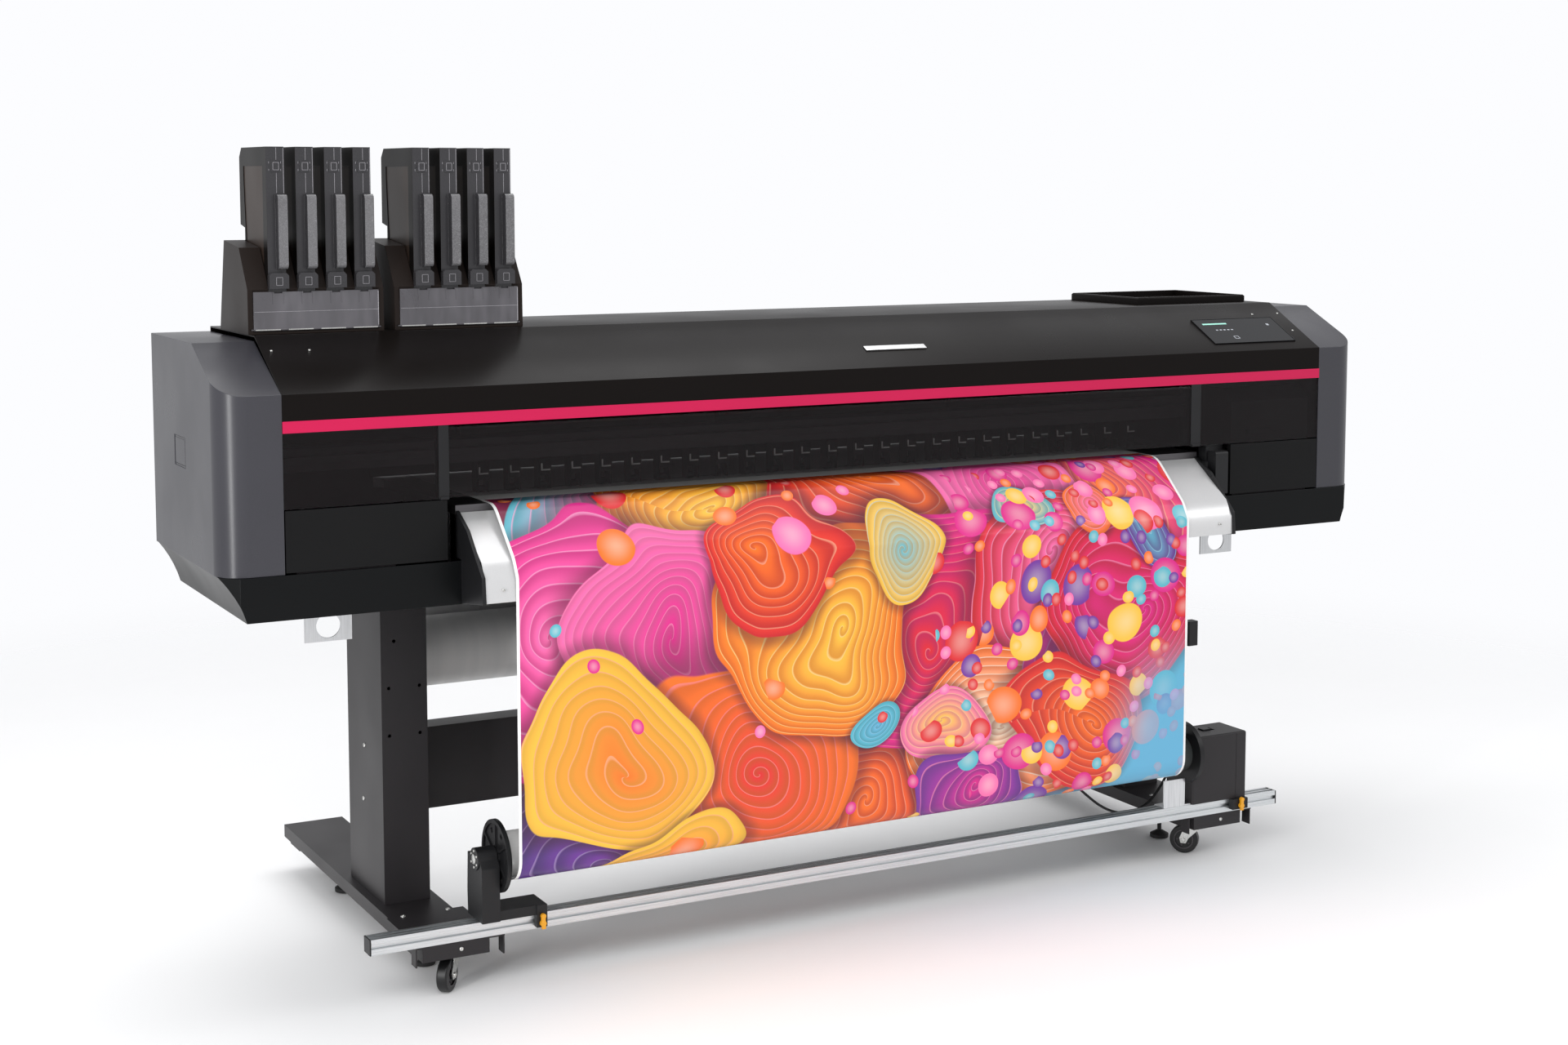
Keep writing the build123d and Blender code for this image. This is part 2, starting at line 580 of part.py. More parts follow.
def cartridge(x):
    """Flat ink cartridge, standing: wide upper part, stepped back, front grip."""
    half = CARTRIDGE_WIDTH / 2
    low, high = LID_TOP + CARTRIDGE_SINK, LID_TOP + CARTRIDGE_TOP
    side = closed([(-186.5, low), (-186.5, high), (-11, high), (5, high - 18),
                   (5, LID_TOP + 206), (-27, LID_TOP + 200), (-27, low)])
    body = prism_x(side, x - half, x + half)
    for face in (x - half, x + half):
        recess = closed([(-160, low + 20), (-160, high - 36), (-24, high - 36),
                         (-24, high - 60), (-34, low + 160), (-34, low + 20)])
        body -= prism_x(recess, face - 1.5, face + 1.5)
    grip = box(x - 1, x + half, -206, -184, LID_TOP + 124, LID_TOP + 266)
    body += fillet(grip.edges().filter_by(Axis.X).group_by(Axis.Y)[0], 9)
    latch = box(x - half - 2, x + half + 1, -203, -189.5, LID_TOP + 87, LID_TOP + 117)
    body += chamfer(latch.edges().filter_by(Axis.Y).group_by(Axis.Z)[-1], 5)
    body += box(x - 14, x + 14, -190, -186, LID_TOP + 89, LID_TOP + 115)
    body += box(x - 9, x + 9, -188.5, -186, LID_TOP + 308, LID_TOP + 330)
    return body


# ---- take-up ----
def rail():
    x = RAIL_HALF
    y0, y1 = RAIL_Y
    bar = box(-x, x, y0, y1, RAIL_Z, RAIL_TOP)
    for y in (y0 + 7, y0 + 21):
        bar -= box(-x - 1, x + 1, y, y + 7, RAIL_TOP - 5, RAIL_TOP + 1)
    bar -= box(-x - 1, x + 1, y0 - 1, y0 + 6, RAIL_Z + 12, RAIL_Z + 20)
    bar -= box(-x - 1, x + 1, y0 + 10, y1 - 4, RAIL_Z + 4, RAIL_TOP - 9)
    caps = [box(side * x, side * (x + 3), y0, y1, RAIL_Z, RAIL_TOP) for side in (-1, 1)]
    return group([bar] + caps)


def takeup_slider():
    """Left take-up unit: foot on the rail, rail clamp and bearing column."""
    y, z = TAKEUP_AXIS
    x_in = DISC_X - DISC_THICK - 2        # column face beside the disc
    x_out = x_in - 37
    foot_z = RAIL_TOP + GAP
    front = MOTOR_BOX_FRONT
    unit = box(x_out, CLAMP_X[0] + 11, front - 6, -376, foot_z, foot_z + 20)
    drum = 22.0
    column = closed([(front - 10, foot_z), (front - 9, z - 14), (y - drum, z), (y + drum, z),
                     (y + 44, z + 4), (y + 48, z - 70), (y + 46, foot_z)])
    unit += prism_x(column, x_out, x_in) + cyl_x(drum, x_out - 3, x_in, y, z)
    unit += box(CLAMP_X[0] - 11, CLAMP_X[0] + 11, front - 10, RAIL_Y[0] - GAP,
                RAIL_Z + 6, foot_z + 20)
    unit -= cyl_x(8 + RUNNING, x_out + 8, x_in + 1, y, z)
    return unit - cyl_y(3 + RUNNING, front - 11, RAIL_Y[0], CLAMP_X[0], CLAMP_Z)


def takeup_disc():
    y, z = TAKEUP_AXIS
    disc = cyl_x(DISC_RADIUS, DISC_X - DISC_THICK, DISC_X, y, z)
    disc -= cyl_x(DISC_RADIUS - 8, DISC_X - DISC_THICK - 1, DISC_X - 5, y, z)
    disc += cyl_x(20, DISC_X - DISC_THICK, DISC_X - 4, y, z)
    for i in range(6):
        spoke = Pos(0, y, z) * Rot(60 * i, 0, 0) * box(
            DISC_X - DISC_THICK, DISC_X - 4, -2, 2, 18, DISC_RADIUS - 6)
        slot = Pos(0, y, z) * Rot(60 * i + 30, 0, 0) * box(
            DISC_X - DISC_THICK - 1, DISC_X + 1, -5, 5, 46, 56)
        disc = disc + spoke - slot
    disc += cyl_x(CORE_INNER - 0.2, DISC_X, DISC_X + 34, y, z)
    return disc + cyl_x(8, DISC_X - DISC_THICK - 28, DISC_X - 4, y, z)


def takeup_roll():
    """Paper core with wound media, on the plug of the driven flange."""
    y, z = TAKEUP_AXIS
    left, right = MEDIA_X
    core = cyl_x(CORE_OUTER, left, FLANGE_X - 12, y, z)
    core -= cyl_x(CORE_INNER, left - 1, FLANGE_X - 11, y, z)
    flange = cyl_x(DISC_RADIUS - 1, FLANGE_X - 12, FLANGE_X, y, z)
    flange += cyl_x(CORE_INNER, FLANGE_X - 46, FLANGE_X - 12, y, z)
    flange += cyl_x(8, FLANGE_X - 1, FLANGE_X + 28, y, z)
    wound = cyl_x(TAKEUP_ROLL_RADIUS, left, right, y, z)
    wound -= cyl_x(CORE_OUTER, left - 1, right + 1, y, z)
    return group([core + flange, wound])


def motor_box():
    w, d, h = MOTOR_BOX
    x0, y0, z0 = MOTOR_X, MOTOR_BOX_FRONT, RAIL_TOP
    case = box(x0, x0 + w, y0, y0 + d, z0, z0 + h)
    case = fillet(case.edges().filter_by(Axis.Z) + case.edges().group_by(Axis.Z)[-1], 5)
    case -= box(x0 + 4, x0 + w - 4, y0 + 4, y0 + d - 4, z0 + 4, z0 + h - 6)
    case -= box(x0 + w - 31, x0 + w - 30, y0 - 1, y0 + 1, z0, z0 + h + 1)
    case -= box(x0 + 62, x0 + 96, y0 + 42, y0 + 66, z0 + h - 4, z0 + h + 1)
    case -= cyl_x(8 + RUNNING, x0 - 1, x0 + 5, *TAKEUP_AXIS)
    case -= cyl_x(4 + RUNNING, x0 + w - 5, x0 + w + 1, *KNOB_AXIS)
    clamp = box(CLAMP_X[1] - 22, CLAMP_X[1] + 22, y0 - 9, RAIL_Y[0], RAIL_Z + 6, z0)
    clamp -= cyl_y(3 + RUNNING, y0 - 10, RAIL_Y[0] + 1, CLAMP_X[1], CLAMP_Z)
    plate = box(x0 - 77, x0 - 17, RAIL_Y[0] + 1, RAIL_Y[0] + 1 + SHEET, RAIL_TOP, RAIL_TOP + 64)
    plate += box(x0 - 77, x0, RAIL_Y[0] + 1, RAIL_Y[1], RAIL_TOP, RAIL_TOP + SHEET)
    motor = cyl_x(30, x0 + 50, x0 + 120, y0 + 50, z0 + 60)
    motor += box(x0 + 45, x0 + 125, y0 + 15, y0 + 85, z0 + 4, z0 + 32)
    gland_x, gland_y, gland_z = cord_route()[-1]
    case += cyl_y(10, y0 + d - 1, gland_y, gland_x, gland_z)
    return group([case, clamp, plate, motor])


def clamp_lever(x, front):
    hub = cyl_y(6, front - 8, front - GAP, x, CLAMP_Z)
    hub += cyl_y(3, front - 2, RAIL_Y[0] - 1, x, CLAMP_Z)
    paddle = box(x - 4, x + 4, front - 8, front - 2, CLAMP_Z, CLAMP_Z + 15)
    tail = box(x - 3, x + 5, front - 7, front - 2, CLAMP_Z - 11, CLAMP_Z)
    return hub + paddle + cyl_y(5, front - 9, front - 2, x, CLAMP_Z + 15) + tail


def drive_knob():
    y, z = KNOB_AXIS
    x = MOTOR_X + MOTOR_BOX[0]
    knob = cyl_x(12, x + GAP, x + 6, y, z) + cyl_x(4, x - 4, x + 2, y, z)
    grip = box(x + 5, x + 15, y - 4, y + 4, z - 12, z + 12)
    return knob + fillet(grip.edges().filter_by(Axis.Y).group_by(Axis.X)[-1], 4)


def supply_roll():
    y, z = SUPPLY_AXIS_Y, SUPPLY_AXIS_Z
    left, right = MEDIA_X
    pieces = [cyl_x(SUPPLY_ROLL_RADIUS - 0.3, left, right, y, z) - cyl_x(CORE_OUTER, left - 1, right + 1, y, z)]
    core = cyl_x(CORE_OUTER, left - 10, right + 10, y, z)
    pieces.append(core - cyl_x(CORE_INNER, left - 11, right + 11, y, z))
    inner_face = LEG_X - LEG_WIDTH / 2 - 12
    for end, tip, sign in ((left - 10, -inner_face - 10, -1), (right + 10, inner_face + 10, 1)):
        plug = cyl_x(CORE_INNER, *sorted((end, end - sign * 40)), y, z)
        plug += cyl_x(60, *sorted((end, end + sign * 8)), y, z)
        pieces.append(plug + cyl_x(10, *sorted((end, tip)), y, z))
    return group(pieces)


def supply_holder(side):
    face = side * (LEG_X - LEG_WIDTH / 2)
    y, z = SUPPLY_AXIS_Y, SUPPLY_AXIS_Z
    x0, x1 = sorted((face, face - side * 12))
    arm = box(x0, x1, LEG_Y[0] + 60, y, z - 32, z + 32) + cyl_x(32, x0, x1, y, z)
    return arm - cyl_x(10 + RUNNING, x0 - 1, x1 + 1, y, z)


# ---- small pieces ----
def loop_sensor():
    x = LEG_X + 19
    z = FOOT_TOP + 400
    y = LEG_Y[0]
    eye = box(x - 14, x + 14, y - 165, y - 140, z - 29, z + 29)
    arm = box(x - 12, x + 4, y - 141, y, z - 10, z + 10) - box(
        x - 10, x + 2, y - 142, y - SHEET, z - 8, z + 11)
    return fillet(eye.edges().filter_by(Axis.Z), 4) + arm


def cord_route():
    """Power lead of the take-up motor: clip on the cross beam to the motor box."""
    return [(540, -12, 330), (548, -66, 318), (566, -128, 288), (592, -190, 246),
            (620, -246, 200), (650, -286, 158), (692, -306, 120), (748, -312, 100),
            (806, -314, 112), (846, -314, 148), (868, -320, 190), (888, -328, 214)]


def cable():
    points = [Vector(*p) for p in cord_route()]
    radii = []
    for before, at, after in zip(points, points[1:], points[2:]):
        runs = (at - before, after - at)
        turn = math.radians(runs[0].get_angle(runs[1]))
        radii.append(0.45 * min(r.length for r in runs) / math.tan(turn / 2))
    print("cable radii", [round(r) for r in radii])
    path = FilletPolyline(*points, radius=radii)
    profile = Plane(origin=points[0], z_dir=points[1] - points[0]) * Circle(3)
    lead = sweep(profile, path=path)
    print("cable length", round(path.length), "volume share",
          round(lead.volume / (math.pi * 9 * path.length), 3))
    return lead


def cable_clip():
    x, y, z = cord_route()[0]
    return box(x - 10, x + 10, y + 1, LEG_Y[0] + 145, z - 10, z + 10)


def screws():
    heads = []
    slope = math.atan2(LID_TOP - FACE_TOP, LID_SLOPE_RUN)
    for x, s in ((-HALF + 137, 149), (-HALF + 209, 147), (HALF - 208, 153),
                 (HALF - 131, 153), (HALF - 141, 77)):
        place = Pos(x, FRONT_Y, FACE_TOP) * Rot(math.degrees(slope), 0, 0)
        heads.append(place * Pos(0, s, 0.5) * Cylinder(2.6, 1))
    for side in (-1, 1):
        x = side * LEG_X
        for dx in (-42, 51):
            heads.append(cyl_z(5, RAIL_Z, RAIL_Z + 2, x + dx, RAIL_Y[1] + 157))
        heads.append(cyl_y(4, FOOT_FRONT_Y - 1.5, FOOT_FRONT_Y, x + 10, FOOT_BOTTOM + 16))
        for y, z in ((-30, 410), (-19, 296)):
            face = x + side * LEG_WIDTH / 2
            heads.append(cyl_x(4.5, face, face + side * 2, y, z))
        heads.append(cyl_y(3, FRONT_Y - 118, FRONT_Y - 114.5, side * (APRON_HALF - 43),
                           PLATEN_TOP - 145))
    return group(heads)


# ---- casters: place of the swivel and the way each one trails ----
CASTER_Y = (-368.0, 430.0)
CASTERS = [(-1, 0, 229.6), (1, 0, 130.4), (-1, 1, 35.0), (1, 1, -52.0)]


def caster_place(index):
    side, row, heading = CASTERS[index]
    return Pos(side * CASTER_X, CASTER_Y[row], 0) * Rot(0, 0, heading)


def caster_fork(index):
    raceway = CASTER_HEIGHT - 3
    fork = cyl_z(24, raceway - 5, raceway, 0, 0) + cyl_z(6, raceway - 1, raceway + 16, 0, 0)
    inner = WHEEL_WIDTH / 2 + 1.5
    cheek = closed([(-20, raceway - 1), (20, raceway - 1), (TRAIL + 9, WHEEL_RADIUS + 4),
                    (TRAIL + 6, WHEEL_RADIUS - 8), (TRAIL - 6, WHEEL_RADIUS - 8),
                    (TRAIL - 12, WHEEL_RADIUS + 4)])
    for y0 in (inner, -inner - 2.5):
        fork += prism_y(cheek, y0, y0 + 2.5)
    fork += cyl_y(4, -inner - 5, inner + 5, TRAIL, WHEEL_RADIUS)
    return caster_place(index) * fork


def caster_wheel(index):
    half = WHEEL_WIDTH / 2
    wheel = cyl_y(WHEEL_RADIUS, -half, half, TRAIL, WHEEL_RADIUS)
    wheel = fillet(wheel.edges().filter_by(GeomType.CIRCLE), 4)
    for y0, y1 in ((-half - 1, -half + 3), (half - 3, half + 1)):
        dish = cyl_y(20, y0, y1, TRAIL, WHEEL_RADIUS)
        wheel -= dish - cyl_y(9, y0 - 1, y1 + 1, TRAIL, WHEEL_RADIUS)
    wheel -= cyl_y(4 + RUNNING, -half - 2, half + 2, TRAIL, WHEEL_RADIUS)
    return caster_place(index) * wheel


def nodes():
    made = {
        "feet": mirrored(foot),
        "levelling_feet": levelling_feet(),
        "stand_frame": stand_frame(),
        "base_pan": base_pan(),
        "side_cover_left": side_cover(-1),
        "side_cover_right": side_cover(1),
        "top_cover": top_cover(),
        "stripe": stripe(),
        "rear_cover": rear_cover(),
        "window_posts": group([window_posts(), lever_bracket()]),
        "bay_windows": bay_windows(),
        "window_cover": window_cover(),
        "panel_left": front_panel(-1),
        "panel_right": front_panel(1),
        "pressure_lever": pressure_lever(),
        "touch_panel": touch_panel(),
        "top_tray": top_tray(),
        "hole_brackets": mirrored(hole_bracket),
        "platen": platen(),
        "grit_roller": grit_roller(),
        "apron": apron(),
        "apron_ends": mirrored(apron_end),
        "media_web": media_web(),
        "guide_rail": guide_rail(),
        "pinch_rollers": pinch_rollers(),
        "cap_station": cap_station(),
        "carriage": carriage(),
        "rail": rail(),
        "takeup_slider": takeup_slider(),
        "takeup_disc": takeup_disc(),
        "takeup_roll": takeup_roll(),
        "motor_box": motor_box(),
        "slider_lever": clamp_lever(CLAMP_X[0], MOTOR_BOX_FRONT - 10),
        "motor_lever": clamp_lever(CLAMP_X[1], MOTOR_BOX_FRONT - 9),
        "drive_knob": drive_knob(),
        "supply_roll": supply_roll(),
        "supply_holders": mirrored(supply_holder),
        "loop_sensor": loop_sensor(),
        "cable": cable(),
        "screws": group([screws(), cable_clip()]),
    }
    for holder, name in enumerate(("left", "right")):
        made["ink_holder_" + name] = ink_holder(holder)
        made["flap_" + name] = holder_flap(holder)
        for i, x in enumerate(cartridge_centres(holder)):
            made[f"cartridge_{holder * CARTRIDGES_PER_HOLDER + i + 1}"] = cartridge(x)
    for i in range(len(CASTERS)):
        made[f"caster_fork_{i + 1}"] = caster_fork(i)
        made[f"caster_wheel_{i + 1}"] = caster_wheel(i)
    return made


os.makedirs("parts", exist_ok=True)
for name, shape in nodes().items():
    export_step(shape, f"parts/{name}.step")
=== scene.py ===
import json
import math

import bmesh
import bpy
from mathutils import Matrix, Vector


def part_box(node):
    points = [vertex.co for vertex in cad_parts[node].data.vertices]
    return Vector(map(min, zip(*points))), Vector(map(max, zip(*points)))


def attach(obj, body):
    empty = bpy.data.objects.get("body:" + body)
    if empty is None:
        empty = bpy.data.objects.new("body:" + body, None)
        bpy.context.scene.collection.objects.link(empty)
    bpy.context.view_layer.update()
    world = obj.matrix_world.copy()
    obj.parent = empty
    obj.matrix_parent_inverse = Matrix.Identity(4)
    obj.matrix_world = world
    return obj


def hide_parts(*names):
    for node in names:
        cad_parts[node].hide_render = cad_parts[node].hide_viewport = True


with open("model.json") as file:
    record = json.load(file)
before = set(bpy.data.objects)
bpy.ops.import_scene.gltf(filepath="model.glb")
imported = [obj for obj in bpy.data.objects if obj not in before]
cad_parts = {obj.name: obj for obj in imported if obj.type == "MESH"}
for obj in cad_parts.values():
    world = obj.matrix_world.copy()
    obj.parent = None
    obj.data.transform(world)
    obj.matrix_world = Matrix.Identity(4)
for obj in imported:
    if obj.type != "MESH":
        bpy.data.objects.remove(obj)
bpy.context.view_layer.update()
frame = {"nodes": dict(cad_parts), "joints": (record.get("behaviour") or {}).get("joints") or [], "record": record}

# Sizes in metres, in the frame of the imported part.
MM = 0.001
WELD = 0.00002                     # joins the split corners of an imported mesh
FLAT = math.radians(0.6)           # faces this close to one plane become one
CREASE = math.radians(33)          # an edge sharper than this is rounded
SMOOTH = math.radians(52)          # shading is smooth across anything flatter


# ---------------------------------------------------------------- camera
CAMERA_PLACE = (-2.350, -4.394, 1.561)
CAMERA_TILT, CAMERA_PAN = 84.61, -28.35    # degrees up from straight down, and to the left of +Y
LENS, SENSOR = 51.35, 36.0                 # millimetres
LENS_SHIFT = -0.0833                       # share of the picture's width


def make_camera():
    """Three-quarter view from the left front, tilted a little down, with the lens shifted."""
    data = bpy.data.cameras.new("camera")
    data.lens = LENS
    data.sensor_width = SENSOR
    data.shift_y = LENS_SHIFT
    data.clip_end = 60.0
    camera = bpy.data.objects.new("camera", data)
    camera.location = CAMERA_PLACE
    camera.rotation_euler = (math.radians(CAMERA_TILT), 0.0, math.radians(CAMERA_PAN))
    bpy.context.scene.collection.objects.link(camera)
    bpy.context.scene.camera = camera


make_camera()


# ---------------------------------------------------------------- materials
class Look:
    """One node material with short calls for the nodes that it is made of."""

    def __init__(self, name, slot=None):
        self.slot = slot or name
        self.material = bpy.data.materials.new(name)
        self.material.use_nodes = True
        self.tree = self.material.node_tree
        self.shader = self.tree.nodes["Principled BSDF"]
        self.place = self.add("ShaderNodeTexCoord").outputs["Object"]

    def add(self, kind, inputs=None, **settings):
        node = self.tree.nodes.new(kind)
        for key, value in settings.items():
            setattr(node, key, value)
        for key, value in (inputs or {}).items():
            self.put(node.inputs[key], value)
        return node

    def put(self, socket, value):
        if isinstance(value, bpy.types.NodeSocket):
            self.tree.links.new(value, socket)
        else:
            socket.default_value = value

    def set(self, **values):
        for key, value in values.items():
            self.put(self.shader.inputs[key.replace("_", " ")], value)
        return self

    def math(self, kind, a, b=0.0, c=0.0):
        node = self.add("ShaderNodeMath", operation=kind)
        for socket, value in zip(node.inputs, (a, b, c)):
            self.put(socket, value)
        return node.outputs[0]

    def noise(self, scale, detail=3.0, stretch=(1, 1, 1), where=None):
        spread = self.add("ShaderNodeMapping", {"Vector": where or self.place, "Scale": stretch})
        return self.add("ShaderNodeTexNoise", {"Vector": spread.outputs[0], "Scale": scale, "Detail": detail})

    def mix(self, factor, a, b):
        made = self.add("ShaderNodeMix", data_type="RGBA")
        self.put(made.inputs[0], factor)
        self.put(made.inputs[6], a)
        self.put(made.inputs[7], b)
        return made.outputs[2]

    def step(self, value, low, high, to_low=0.0, to_high=1.0):
        made = self.add("ShaderNodeMapRange", {"Value": value, "From Min": low, "From Max": high,
                                               "To Min": to_low, "To Max": to_high})
        made.interpolation_type = "SMOOTHSTEP"
        return made.outputs[0]

    def bump(self, height, strength, distance):
        made = self.add("ShaderNodeBump", {"Height": height, "Strength": strength, "Distance": distance})
        self.put(self.shader.inputs["Normal"], made.outputs[0])
        return self


def rgba(colour, gain=1.0):
    return (*[min(1.0, c * gain) for c in colour[:3]], 1.0)


def surface(name, colour, rough, metal=0.0, grain=700.0, relief=0.12, depth=0.0004,
            mottle=0.07, spread=0.03, stretch=(1, 1, 1), specular=0.5, slot=None):
    """Painted, moulded or metal finish: soft colour drift, uneven sheen and a fine grain."""
    look = Look(name, slot)
    drift = look.noise(3.0, 4.0, stretch).outputs["Fac"]
    fine = look.noise(grain, 2.0, stretch).outputs["Fac"]
    smudge = look.noise(5.0, 2.5, stretch).outputs["Fac"]
    tone = look.mix(look.step(drift, 0.3, 0.7), rgba(colour, 1 - mottle), rgba(colour, 1 + mottle))
    speck = look.mix(look.step(fine, 0.35, 0.75), tone, rgba(colour, 1 + 2.2 * mottle))
    sheen = look.step(smudge, 0.3, 0.7, rough - spread, rough + spread)
    look.set(Base_Color=speck, Metallic=metal, Roughness=sheen, Specular_IOR_Level=specular)
    return look.bump(fine, relief, depth)


def brushed(name, colour, rough, along=(1.5, 220, 220), slot=None):
    """Metal with fine lines along X."""
    return surface(name, colour, rough, 1.0, grain=9.0, relief=0.25, depth=0.0002,
                   mottle=0.10, spread=0.09, stretch=along, slot=slot)


def smoked(name, colour, alpha, rough, specular=0.5, grain=60.0, streaks=(1, 1, 1), slot=None):
    """Tinted clear sheet with faint wipe marks or cloudy streaks."""
    look = surface(name, colour, rough, grain=grain, relief=0.006, mottle=0.16, spread=0.02,
                   stretch=streaks, specular=specular, slot=slot)
    return look.set(Alpha=alpha)


CORE_RADIUS = 41.8 * MM            # outside of a roll's card core
RINGS_PER_METRE = 700.0


def wound_roll(name, axis, card=(0.42, 0.30, 0.19)):
    """Blank media on a core: rings on its ends, faint winding bands round it."""
    look = Look(name, "roll_white")
    parts = look.add("ShaderNodeSeparateXYZ", {"Vector": look.place}).outputs
    dy = look.math("SUBTRACT", parts[1], axis[1])
    dz = look.math("SUBTRACT", parts[2], axis[2])
    radius = look.math("SQRT", look.math("ADD", look.math("MULTIPLY", dy, dy), look.math("MULTIPLY", dz, dz)))
    rings = look.math("FRACT", look.math("MULTIPLY", radius, RINGS_PER_METRE))
    bands = look.noise(5.0, 3.0, (9, 0.4, 0.4)).outputs["Fac"]
    core = look.math("LESS_THAN", radius, CORE_RADIUS)
    paper = look.mix(look.step(rings, 0.2, 0.9), (0.86, 0.85, 0.83, 1), (0.70, 0.69, 0.67, 1))
    side = look.mix(look.step(bands, 0.35, 0.7), (0.88, 0.87, 0.86, 1), (0.80, 0.80, 0.80, 1))
    shade = look.mix(0.5, paper, side)
    board = look.mix(look.noise(120.0).outputs["Fac"], rgba(card), rgba(card, 0.75))
    look.set(Base_Color=look.mix(core, shade, board), Roughness=look.step(bands, 0.2, 0.8, 0.32, 0.5))
    return look.bump(rings, 0.15, 0.0003)


# ---- the printed pattern: layered discs, curls and dots, laid out in metres on the sheet
RED, ORANGE, YELLOW = (0.72, 0.012, 0.02), (0.95, 0.17, 0.01), (0.98, 0.55, 0.05)
MAGENTA, PINK, PURPLE = (0.72, 0.01, 0.24), (0.95, 0.16, 0.42), (0.17, 0.03, 0.33)
TEAL, SKY, NAVY = (0.09, 0.46, 0.56), (0.13, 0.43, 0.66), (0.03, 0.03, 0.13)
CREAM = (0.98, 0.80, 0.58)

# centre across and down the sheet, radius, rings, twist, outer colour, inner colour
CURLS = [
    (-0.62, 0.02, 0.20, 9, 1.0, TEAL, PINK), (0.60, 0.06, 0.24, 11, -1.0, MAGENTA, ORANGE),
    (-0.66, 0.74, 0.24, 8, 2.0, NAVY, PURPLE), (-0.36, 0.04, 0.27, 12, 1.5, ORANGE, YELLOW),
    (0.02, 0.02, 0.25, 10, -1.5, RED, ORANGE), (0.30, 0.03, 0.20, 9, 1.0, PINK, MAGENTA),
    (-0.72, 0.30, 0.26, 8, -2.0, MAGENTA, PINK), (-0.06, 0.74, 0.30, 12, 2.0, RED, ORANGE),
    (-0.46, 0.33, 0.24, 11, 2.0, PINK, MAGENTA), (-0.34, 0.60, 0.26, 10, -1.0, ORANGE, RED),
    (0.10, 0.36, 0.27, 13, 1.0, MAGENTA, RED), (0.38, 0.27, 0.20, 9, -2.0, RED, PINK),
    (-0.16, 0.34, 0.20, 10, 1.0, ORANGE, YELLOW), (-0.64, 0.52, 0.17, 7, 2.0, YELLOW, ORANGE),
    (0.26, 0.58, 0.20, 11, -1.5, ORANGE, CREAM), (-0.52, 0.80, 0.15, 6, 1.5, YELLOW, ORANGE),
    (0.62, 0.30, 0.13, 7, 1.0, RED, ORANGE), (0.00, 0.20, 0.11, 8, 2.0, YELLOW, TEAL),
    (-0.25, 0.17, 0.12, 7, -1.0, RED, ORANGE), (0.45, 0.45, 0.12, 6, 2.0, MAGENTA, PURPLE),
    (0.30, 0.13, 0.08, 5, 1.0, TEAL, YELLOW), (0.14, 0.56, 0.10, 6, -2.0, PINK, YELLOW),
    (0.60, 0.34, 0.20, 10, -2.0, RED, MAGENTA), (0.44, 0.58, 0.17, 9, 1.5, RED, ORANGE),
    (-0.04, 0.52, 0.07, 5, 1.0, TEAL, SKY), (0.50, 0.14, 0.08, 5, -1.0, ORANGE, PINK),
    (0.66, 0.17, 0.06, 4, 1.0, PURPLE, TEAL), (0.19, 0.74, 0.10, 6, 1.0, PURPLE, MAGENTA),
]
DOT_SIZES = [(8.0, 0.34), (14.0, 0.36), (25.0, 0.34)]    # dots per metre, radius in cells
DOT_SHADES = (RED, ORANGE, PINK, RED, MAGENTA, TEAL, YELLOW, PURPLE)
CURL_PUSH, DOT_PUSH = 0.42, 0.10                         # how far noise moves the curls and the dots
BLANK_EDGE, PRINT_START = 6 * MM, -60 * MM               # bare film at the sides, first printed line


